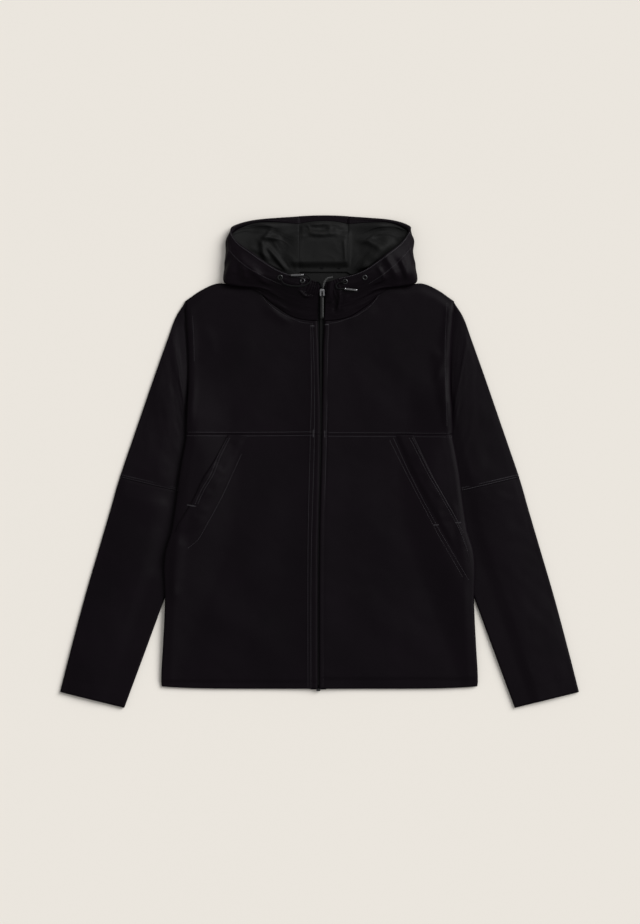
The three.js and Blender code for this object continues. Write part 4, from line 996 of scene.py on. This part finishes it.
def swept(name, line, radii, sides):
    """A closed tube round a line, with a radius for each of its points."""
    along = np.gradient(line, axis=0)
    along /= np.linalg.norm(along, axis=1, keepdims=True)
    across = np.cross(along[0], [0, 0, 1.0])
    across /= np.linalg.norm(across)
    turns = np.linspace(0, 2 * np.pi, sides, endpoint=False)[:, None]
    rings = []
    for point, tangent, radius in zip(line, along, radii):
        across = across - tangent * across.dot(tangent)
        across /= np.linalg.norm(across)
        upward = np.cross(tangent, across)
        rings.append(point + radius * (np.cos(turns) * across + np.sin(turns) * upward))
    count = len(line)
    ids = np.arange(count * sides).reshape(count, sides)
    ids = np.concatenate([ids, ids[:, :1]], axis=1).tolist()
    reach = np.concatenate([[0], np.cumsum(np.linalg.norm(np.diff(line, axis=0), axis=1))]) * MM
    turn = np.linspace(0, 1, sides + 1) * np.median(radii) * 2 * np.pi * MM
    faces = []
    uvs = []
    for ring in range(count - 1):
        for side in range(sides):
            faces.append((ids[ring][side], ids[ring][side + 1], ids[ring + 1][side + 1], ids[ring + 1][side]))
            uvs += [(turn[side], reach[ring]), (turn[side + 1], reach[ring]),
                    (turn[side + 1], reach[ring + 1]), (turn[side], reach[ring + 1])]
    first = count * sides
    for side in range(sides):
        faces.append((first, ids[0][side + 1], ids[0][side]))
        uvs += [(turn[side], 0)] * 3
        faces.append((first + 1, ids[-1][side], ids[-1][side + 1]))
        uvs += [(turn[side], reach[-1])] * 3
    points = np.concatenate([np.array(rings).reshape(-1, 3), line[:1], line[-1:]])
    made = mesh_object(name, points, faces, uvs)
    face_out(made)
    return made


def face_out(piece):
    """Turns a closed mesh's faces outwards."""
    mesh = piece.data
    mesh.calc_loop_triangles()
    points = np.zeros(len(mesh.vertices) * 3)
    mesh.vertices.foreach_get("co", points)
    points = points.reshape(-1, 3)
    corners = np.zeros(len(mesh.loop_triangles) * 3, int)
    mesh.loop_triangles.foreach_get("vertices", corners)
    a, b, c = (points[corners.reshape(-1, 3)[:, corner]] for corner in range(3))
    if (a * np.cross(b, c)).sum() < 0:
        mesh.flip_normals()
    mesh.update()


def turned(name, profile, seat, axis, sides=40):
    """A ring turned round an axis from a closed profile of (radius, height) points."""
    axis = np.asarray(axis, float) / np.linalg.norm(axis)
    across = np.cross(axis, [0.3, 1.0, 0.2])
    across /= np.linalg.norm(across)
    other = np.cross(axis, across)
    points = []
    for turn in np.linspace(0, 2 * np.pi, sides, endpoint=False):
        out = across * math.cos(turn) + other * math.sin(turn)
        points += [np.asarray(seat) + out * radius + axis * height for radius, height in profile]
    size = len(profile)
    faces = []
    for side in range(sides):
        here = side * size
        there = (side + 1) % sides * size
        for step in range(size):
            after = (step + 1) % size
            faces.append((here + step, there + step, there + after, here + after))
    made = mesh_object(name, points, faces)
    face_out(made)
    return made


# Materials

class Tree:
    """Adds nodes to a tree. An input is a value, or the output of another node that is joined to it."""

    def __init__(self, tree):
        self.tree = tree

    def give(self, node, place, value):
        if isinstance(value, bpy.types.NodeSocket):
            self.tree.links.new(value, node.inputs[place])
        else:
            node.inputs[place].default_value = value

    def add(self, kind, inputs=None, **settings):
        node = self.tree.nodes.new(kind)
        for name, value in settings.items():
            setattr(node, name, value)
        for place, value in (inputs or {}).items():
            self.give(node, place, value)
        return node.outputs


class Look(Tree):
    """A new material and the steps that several materials share."""

    def __init__(self, name):
        self.material = bpy.data.materials.new(name)
        self.material.use_nodes = True
        super().__init__(self.material.node_tree)
        self.shader = self.tree.nodes["Principled BSDF"]

    def math(self, operation, first, second=0):
        return self.add("ShaderNodeMath", {0: first, 1: second}, operation=operation)[0]

    def noise(self, scale, detail):
        place = self.add("ShaderNodeTexCoord")["Object"]
        return self.add("ShaderNodeTexNoise", {"Vector": place, "Scale": scale, "Detail": detail})["Fac"]

    def tone(self, value, start, end, dark, light):
        ramp = self.tree.nodes.new("ShaderNodeValToRGB")
        for element, position, tone in zip(ramp.color_ramp.elements, (start, end), (dark, light)):
            element.position = position
            element.color = (*tone, 1)
        self.give(ramp, "Fac", value)
        self.give(self.shader, "Base Color", ramp.outputs["Color"])

    def finish(self, roughness, specular):
        self.give(self.shader, "Roughness", roughness)
        self.give(self.shader, "Specular IOR Level", specular)

    def uneven(self, value, middle, spread):
        """A roughness that follows a noise."""
        return self.math("ADD", self.math("MULTIPLY", value, spread), middle - spread / 2)

    def bump(self, height, strength, distance):
        inputs = {"Strength": strength, "Distance": distance, "Height": height}
        self.give(self.shader, "Normal", self.add("ShaderNodeBump", inputs)["Normal"])


def scaled(tone, share):
    return [value * share for value in tone]


def woven(name, dark, light, thread, roughness, relief, tint_size, specular):
    """Plain woven cloth: two sets of threads on the cloth's own lengths, uneven in tone and height."""
    look = Look(name)
    lengths = look.add("ShaderNodeUVMap", uv_map="Cloth")[0]
    apart = look.add("ShaderNodeSeparateXYZ", {0: lengths})
    turns = 2 * math.pi / thread
    warp = look.math("SINE", look.math("MULTIPLY", apart[0], turns))
    weft = look.math("SINE", look.math("MULTIPLY", apart[1], turns))
    crossing = look.math("MULTIPLY", warp, weft)
    broad = look.noise(1 / tint_size, 3)
    grain = look.noise(900, 2)
    tone = look.math("ADD", look.math("MULTIPLY", crossing, 0.22), broad)
    tone = look.math("ADD", tone, look.math("MULTIPLY", grain, 0.3))
    look.tone(tone, 0.3, 1.0, dark, light)
    look.bump(look.math("ADD", crossing, look.math("MULTIPLY", grain, 0.8)), relief, 0.00012)
    look.finish(look.uneven(broad, roughness, 0.14), specular)
    return look.material


def metal(name, tone, roughness):
    """Plated metal with fine wear marks."""
    look = Look(name)
    wear = look.noise(420, 5)
    look.tone(wear, 0.35, 0.7, scaled(tone, 0.82), tone)
    look.bump(wear, 0.15, 0.0001)
    look.give(look.shader, "Roughness", look.uneven(wear, roughness, 0.16))
    look.give(look.shader, "Metallic", 1)
    return look.material


def plain(name, tone, roughness, specular, grain_scale):
    """One tone with a fine grain, for thread and plastic."""
    look = Look(name)
    look.tone(look.noise(grain_scale, 3), 0.3, 0.7, scaled(tone, 0.7), scaled(tone, 1.3))
    look.finish(roughness, specular)
    return look.material


def floor_paper(name, tone):
    look = Look(name)
    look.tone(look.noise(3, 2), 0.0, 1.0, scaled(tone, 0.992), tone)
    look.finish(0.9, 0.1)
    return look.material


# Cloths: dark and light tone, size of a thread in metres, roughness, relief, size of tints, specular
softshell = woven(
    "softshell", (0.0014, 0.0004, 0.0014), (0.0030, 0.0012, 0.0030), 0.0011, 0.5, 0.3, 0.12, 0.08
)
lining_cloth = woven(
    "lining", (0.0060, 0.0060, 0.0060), (0.0115, 0.0115, 0.0113), 0.0006, 0.6, 0.25, 0.05, 0.08
)
zip_cloth = woven(
    "zip_cloth", (0.0025, 0.0025, 0.0027), (0.0050, 0.0050, 0.0054), 0.0008, 0.7, 0.4, 0.05, 0.06
)
cord_cloth = woven(
    "cord_braid", (0.0030, 0.0030, 0.0033), (0.008, 0.008, 0.0085), 0.0009, 0.6, 1.0, 0.01, 0.08
)
plated = metal("plated_metal", (0.34, 0.34, 0.35), 0.26)
dull_metal = metal("dull_metal", (0.055, 0.055, 0.057), 0.32)
tip_metal = metal("tip_metal", (0.2, 0.2, 0.205), 0.2)
coil_plastic = plain("coil_plastic", (0.0025, 0.0025, 0.0027), 0.45, 0.12, 700)
pull_rubber = plain("pull_rubber", (0.010, 0.010, 0.010), 0.5, 0.15, 300)
thread = plain("sewing_thread", (0.04, 0.0365, 0.0424), 0.5, 0.3, 900)
# The hem's thread, darkened to paint the shade in the hem's crease
painted_shade_thread = plain("painted_shade_thread", (0.0035, 0.0028, 0.0035), 0.6, 0.08, 900)
# A light grey for painted highlights: the lit rim of the coil's open end and the glint along the pull tab
painted_highlight_grey = plain("painted_highlight_grey", (0.13, 0.13, 0.13), 0.4, 0.4, 700)


def finish_piece(piece, material, body="jacket", nodes=()):
    piece.data.materials.clear()
    piece.data.materials.append(material)
    if nodes:
        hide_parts(*nodes)
    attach(piece, body)
    return piece


# The cords come first

# Places along a tip and its widths there, with a groove near the cord
TIP_SHARES = np.array([0, 0.01, 0.03, 0.08, 0.1, 0.12, 0.14, 0.2, 0.5, 0.9, 0.96, 0.99, 1.0])
TIP_WIDTHS = np.array([0.5, 0.86, 0.98, 1, 0.88, 0.88, 1, 1, 1, 1, 0.93, 0.7, 0.35])
for word, points in CORDS.items():
    line = rounded_line(points, 60)
    end = np.array(points[-1], float)
    away = np.array(TIP_ENDS[word], float) - end
    away /= np.linalg.norm(away)
    tip_line = end + away * SEAM_GAP + away * TIP_LENGTH * TIP_SHARES[:, None]
    tip = swept("cord_end_" + word, tip_line, TIP_RADIUS * TIP_WIDTHS, 24)
    finish_piece(tip, tip_metal, nodes=["cord_tip_" + word])
    cord = swept("drawcord_" + word, line, np.full(len(line), CORD_DIAMETER / 2), 14)
    finish_piece(cord, cord_cloth, nodes=["cord_" + word])


# Cloth pieces, each with the size of its flat cut

fronts = {}
chests = {}
hoods = {}
bands = {}
for word, side in (("left", 1), ("right", -1)):
    piece, fronts[side] = front_piece("front_lower_" + word, side, lower_plan, int(425 / GRID_STEP))
    finish_piece(piece, softshell, nodes=["front_" + word])
    piece, chests[side] = front_piece("front_chest_" + word, side, chest_plan, int(230 / GRID_STEP))
    finish_piece(piece, softshell, nodes=["chest_" + word])
    piece = sleeve_piece("sleeve_top_" + word, side, 0, ELBOW - 0.004, 110)
    finish_piece(piece, softshell, nodes=["sleeve_upper_" + word])
    piece = sleeve_piece("sleeve_forearm_" + word, side, ELBOW - 0.04, len(SLEEVE) - 1, 130)
    finish_piece(piece, softshell, nodes=["sleeve_lower_" + word])
    piece, hoods[side] = hood_side_piece("hood_panel_" + word, side)
    finish_piece(piece, softshell, nodes=["hood_side_" + word])
    piece = lining_side_piece("hood_lining_panel_" + word, side)
    finish_piece(piece, lining_cloth, nodes=["hood_lining_" + word])
    piece = facing_side_piece("hood_facing_band_" + word, side)
    finish_piece(piece, softshell, nodes=["hood_facing_" + word])
    piece, bands[side] = welt_piece("pocket_band_" + word, side)
    finish_piece(piece, softshell, nodes=["pocket_welt_" + word])
    piece = zip_tape_piece("zip_band_" + word, side)
    finish_piece(piece, zip_cloth, nodes=["zip_tape_" + word])

back = finish_piece(back_piece(), softshell, nodes=["back"])
back.data.materials.append(lining_cloth)
for face in back.data.polygons:
    if face.normal.z > 0.5 and face.center.y > NECK_LINED_Y * MM:
        face.material_index = 1
piece = finish_piece(hood_centre_piece(), softshell, nodes=["hood_centre"])
piece = finish_piece(lining_centre_piece(), lining_cloth, nodes=["hood_lining_centre"])
piece = finish_piece(facing_centre_piece(), softshell, nodes=["hood_facing_top"])


# Stitches and zip teeth: one small shape repeated along lines

def repeat_tree():
    """Puts a small rounded shape at even steps along every line, as real meshes."""
    tree = bpy.data.node_groups.new("repeated_shape", "GeometryNodeTree")
    tree.is_modifier = True
    sockets = tree.interface
    sockets.new_socket("Lines", in_out="INPUT", socket_type="NodeSocketGeometry")
    for label in ("Pitch", "Length", "Width", "Thickness"):
        sockets.new_socket(label, in_out="INPUT", socket_type="NodeSocketFloat")
    sockets.new_socket("Seed", in_out="INPUT", socket_type="NodeSocketInt")
    sockets.new_socket("Material", in_out="INPUT", socket_type="NodeSocketMaterial")
    sockets.new_socket("Pieces", in_out="OUTPUT", socket_type="NodeSocketGeometry")
    steps = Tree(tree)
    given = steps.add("NodeGroupInput")
    curves = steps.add("GeometryNodeMeshToCurve", {0: given["Lines"]})
    points = steps.add(
        "GeometryNodeResampleCurve", {"Curve": curves[0], "Length": given["Pitch"]}, mode="LENGTH"
    )
    shape = steps.add("GeometryNodeMeshUVSphere", {"Segments": 6, "Rings": 4, "Radius": 0.5})
    size = steps.add("ShaderNodeCombineXYZ", {0: given["Length"], 1: given["Width"], 2: given["Thickness"]})
    sized = steps.add("GeometryNodeTransform", {"Geometry": shape[0], "Scale": size[0]})
    tangent = steps.add("GeometryNodeInputTangent")
    along = steps.add("FunctionNodeAlignRotationToVector", {"Vector": tangent[0]}, axis="X")
    upright = steps.add(
        "FunctionNodeAlignRotationToVector", {"Vector": (0, 0, 1), "Rotation": along[0]},
        axis="Z", pivot_axis="X",
    )
    uneven = steps.add(
        "FunctionNodeRandomValue", {0: (0.85, 0.85, 0.85), 1: (1.1, 1.1, 1.1), "Seed": given["Seed"]},
        data_type="FLOAT_VECTOR",
    )
    repeats = steps.add(
        "GeometryNodeInstanceOnPoints",
        {"Points": points[0], "Instance": sized[0], "Rotation": upright[0], "Scale": uneven[0]},
    )
    real = steps.add("GeometryNodeRealizeInstances", {0: repeats[0]})
    coloured = steps.add("GeometryNodeSetMaterial", {"Geometry": real[0], "Material": given["Material"]})
    steps.add("NodeGroupOutput", {"Pieces": coloured[0]})
    return tree


REPEATED = repeat_tree()


def repeated(name, lines, sizes, material, seed):
    """One finished mesh of small shapes along lines of points."""
    points = np.concatenate(lines) * MM
    edges = []
    start = 0
    for line in lines:
        edges += [(start + step, start + step + 1) for step in range(len(line) - 1)]
        start += len(line)
    host_mesh = bpy.data.meshes.new(name + "_lines")
    host_mesh.from_pydata(points.tolist(), edges, [])
    made = placed(name, host_mesh)
    modifier = made.modifiers.new("repeat", "NODES")
    modifier.node_group = REPEATED
    values = {"Seed": seed, "Material": material}
    for label, size in zip(("Pitch", "Length", "Width", "Thickness"), sizes):
        values[label] = size * MM
    for socket in REPEATED.interface.items_tree:
        if socket.in_out == "INPUT" and socket.name in values:
            modifier[socket.identifier] = values[socket.name]
    graph = bpy.context.evaluated_depsgraph_get()
    mesh = bpy.data.meshes.new_from_object(made.evaluated_get(graph))
    made.modifiers.clear()
    made.data = mesh
    mesh.name = name
    mesh.polygons.foreach_set("use_smooth", [True] * len(mesh.polygons))
    bpy.data.meshes.remove(host_mesh)
    return finish_piece(made, material)


# Sizes of what is repeated: pitch, length, width, thickness
EDGE_STITCH = (2.7, 2.3, 1.1, 0.6)
SEAM_STITCH = (3.1, 2.3, 0.62, 0.5)
BAR_TACK = (0.75, 0.55, 2.4, 0.5)
ZIP_TOOTH = (2.2, 1.1, 2.4, 1.1)
OPEN_TOOTH = (1.9, 1.2, 3.3, 2.3)

# How far the repeated shapes' middles lie above the cloth
STITCH_ABOVE = 0.14
ROW_ABOVE = 0.12
TACK_ABOVE = 0.2


def on_fronts(x, y, above=STITCH_ABOVE):
    return np.stack([x, y, front_top(x, y) + above], axis=-1)


def on_pieces(grids, plan, above=STITCH_ABOVE):
    return with_height(plan[None], height_on(grids, plan[:, 0], plan[:, 1])[None] + above)[0]


# The hood's edge and the elbow at the wearer's left take the bigger stitches
edge_rows = []
seam_rows = []
for row in FRONT_ROWS:
    plan = row_of(row, 4.0)
    seam_rows.append(on_fronts(plan[:, 0], plan[:, 1], ROW_ABOVE))
for side, rows in ZIP_ROWS:
    y = np.linspace(rows[0][0], rows[-1][0], 160)
    seam_rows.append(on_fronts(zip_middle(y) + side * by_height(rows, y)[..., 0], y))
for side in (1, -1):
    for row in BAND_ROWS[side]:
        seam_rows.append(on_pieces([bands[side]], row_of(row, 3.0)))
    for distance in ELBOW_ROWS:
        ring = sleeve_ring(side, [ELBOW - 0.004], -STITCH_ABOVE)[0]
        ring = ring + distance * np.array([UP_SLEEVE[0] * side, UP_SLEEVE[1], 0])
        ring[:, 2] = np.maximum(ring[:, 2], LOWEST_STITCH)
        rows = edge_rows if side > 0 else seam_rows
        rows.append(np.concatenate([ring, ring[:1]]))
    for row in HOOD_STITCHES[side]:
        seam_rows.append(on_pieces([hoods[side]], row_of(row, 3.0)))
    hood = hoods[side]
    facing_away = normals_of(hood) * side
    columns = slice(int(0.15 * HOOD_COLUMNS), int(0.74 * HOOD_COLUMNS))
    edge_rows.append((hood + facing_away * STITCH_ABOVE)[HOOD_ROWS - 3, columns])
repeated("edge_stitches", edge_rows, EDGE_STITCH, thread, 5)
repeated("seam_stitches", seam_rows, SEAM_STITCH, thread, 5)

# The hem's row stops at the fold beside the zip. Its stitches take a thread darkened to paint the shade in
# the hem's crease.
HEM_ROW_HALF = 252
HEM_ROW_ABOVE = 0.6
ZIP_FOLD_X = (-14, 12)
hem_x = np.linspace(-HEM_ROW_HALF, HEM_ROW_HALF, 170)
hem_rows = []
for x in (hem_x[hem_x < ZIP_FOLD_X[0]], hem_x[hem_x > ZIP_FOLD_X[1]]):
    hem_rows.append(on_fronts(x, HEM_Y + HEM_DEPTH + HEM_ROW_ABOVE - RIGHT_HEM_DEEPER * (x < 0)))
repeated("hem_stitches", hem_rows, SEAM_STITCH, painted_shade_thread, 9)

tops = [fronts[1], fronts[-1], chests[1], chests[-1], bands[1], bands[-1]]
tack_rows = [on_pieces(tops, np.linspace(*np.array(ends, float), 8), TACK_ABOVE) for ends in BAR_TACKS]
repeated("bar_tacks", tack_rows, BAR_TACK, thread, 6)

teeth_rows = []
for side in (1, -1):
    y = np.linspace(TEETH_START_Y + ZIP_TOOTH[0] / 4 * (side > 0), TEETH_END_Y, 300)
    x = zip_middle(y) + side * TEETH_ASIDE
    teeth_rows.append(np.stack([x, y, zip_height(y) - TEETH_BELOW_COIL], axis=-1))
repeated("zip_teeth", teeth_rows, ZIP_TOOTH, coil_plastic, 7)


# Hardware

BEVEL_STEPS = 3
BEVEL_FROM = math.radians(35)
WELD_WITHIN = 0.000005


def bevelled(name, node, width):
    """A copy of a hard solid with its edges rounded."""
    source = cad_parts[node]
    mesh = source.data.copy()
    mesh.transform(source.matrix_world)
    made = placed(name, mesh)
    joined = made.modifiers.new("joined", "WELD")
    joined.merge_threshold = WELD_WITHIN
    rounded = made.modifiers.new("rounded", "BEVEL")
    rounded.width = width * MM
    rounded.segments = BEVEL_STEPS
    rounded.limit_method = "ANGLE"
    rounded.angle_limit = BEVEL_FROM
    graph = bpy.context.evaluated_depsgraph_get()
    made_mesh = bpy.data.meshes.new_from_object(made.evaluated_get(graph))
    made.modifiers.clear()
    made.data = made_mesh
    return made


# The open ends of the coil above the slider
COIL_CORE = 0.75
COIL_ENDS = {
    "left": [(6.0, 288.0, 17.8), (7.4, 294.6, 22.6), (12.6, 302, 27.6), (20.8, 304, 28.2)],
    "right": [(2.8, 288.0, 17.8), (1.9, 293.0, 22.4), (-2.4, 297.0, 26.0)],
}
for word, points in COIL_ENDS.items():
    line = rounded_line(points, 30)
    core = swept("zip_end_" + word, line, np.full(30, COIL_CORE), 10)
    finish_piece(core, zip_cloth, nodes=["zip_coil_end_" + word])
    # The end at the wearer's left takes the light grey, a painted highlight on its lit rim; the other keeps
    # the coil's own plastic
    tone = painted_highlight_grey if word == "left" else coil_plastic
    repeated("zip_end_teeth_" + word, [line], OPEN_TOOTH, tone, 8)

# Eyelets: the section of a rolled ring, radius and height, seated on the hood's slope
EYELET_OUTER = 4.6
EYELET_HOLE = 2.1
EYELET_RING = [
    (EYELET_HOLE, -1.1), (EYELET_OUTER - 0.2, -1.1), (EYELET_OUTER, -0.8), (EYELET_OUTER, -0.4),
    (EYELET_OUTER - 0.35, 0.15), (EYELET_OUTER - 0.9, 0.5), ((EYELET_OUTER + EYELET_HOLE) / 2, 0.62),
    (EYELET_HOLE + 0.6, 0.5), (EYELET_HOLE + 0.2, 0.1), (EYELET_HOLE, -0.4),
]
SLOPE_STEP = 3.0
for name, (x, y) in EYELETS.items():
    beside_x = np.array([x - SLOPE_STEP, x + SLOPE_STEP, x, x])
    beside_y = np.array([y, y, y - SLOPE_STEP, y + SLOPE_STEP])
    west, east, south, north = height_on([hoods[1], hoods[-1]], beside_x, beside_y)
    slope = np.array([west - east, south - north, 2 * SLOPE_STEP])
    low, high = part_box(name)
    seat = (np.array(low) + np.array(high)) / 2 / MM
    ring = turned(name + "_ring", EYELET_RING, seat, slope)
    finish_piece(ring, dull_metal, nodes=[name])

# The bright line along the pull tab: a painted highlight in light grey
PULL_LINE = [(5.7, 270.6, 21.0), (5.7, 262, 18.9), (5.7, 250, 16.0), (5.7, 239, 13.35)]
PULL_LINE_RADIUS = 0.42

finish_piece(bevelled("slider_body", "zip_slider", 0.3), plated, nodes=["zip_slider"])
finish_piece(bevelled("pull_tab", "zip_pull", 0.3), pull_rubber, "pull", nodes=["zip_pull"])
pull_line = swept("pull_line", rounded_line(PULL_LINE, 24), np.full(24, PULL_LINE_RADIUS), 10)
finish_piece(pull_line, painted_highlight_grey, "pull")
finish_piece(bevelled("bottom_stop", "zip_stop", 0.35), dull_metal, nodes=["zip_stop"])

for name, material in (
    ("zip_coil", coil_plastic),
    ("zip_guard", softshell),
    ("hang_loop", zip_cloth),
):
    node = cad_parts[name]
    node.data.materials.clear()
    node.data.materials.append(material)


# Floor and light: a broad soft light high on the upper right

FLOOR_HALF = 9000
FLOOR_BELOW = 0.05
FLOOR_TONE = (0.832, 0.792, 0.731)
SKY_STRENGTH = 0.42
SUN_STRENGTH = 2.96
SUN_SPREAD = math.radians(40)
SUN_HEIGHT = math.radians(38)
SUN_SIDE = math.radians(35)

corners = [
    (x * FLOOR_HALF, y * FLOOR_HALF, -FLOOR_BELOW) for x, y in ((-1, -1), (1, -1), (1, 1), (-1, 1))
]
floor = mesh_object("floor", corners, [(0, 1, 2, 3)])
floor.data.materials.append(floor_paper("floor", FLOOR_TONE))

world = bpy.data.worlds.new("studio")
world.use_nodes = True
sky = world.node_tree.nodes["Background"].inputs
sky["Color"].default_value = (1, 1, 1, 1)
sky["Strength"].default_value = SKY_STRENGTH
bpy.context.scene.world = world

sun_data = bpy.data.lights.new("soft_light", "SUN")
sun_data.energy = SUN_STRENGTH
sun_data.angle = SUN_SPREAD
sun = bpy.data.objects.new("soft_light", sun_data)
across = math.cos(SUN_HEIGHT)
towards = Vector((across * math.cos(SUN_SIDE), across * math.sin(SUN_SIDE), math.sin(SUN_HEIGHT)))
sun.rotation_mode = "QUATERNION"
sun.rotation_quaternion = towards.to_track_quat("Z", "Y")
bpy.context.scene.collection.objects.link(sun)
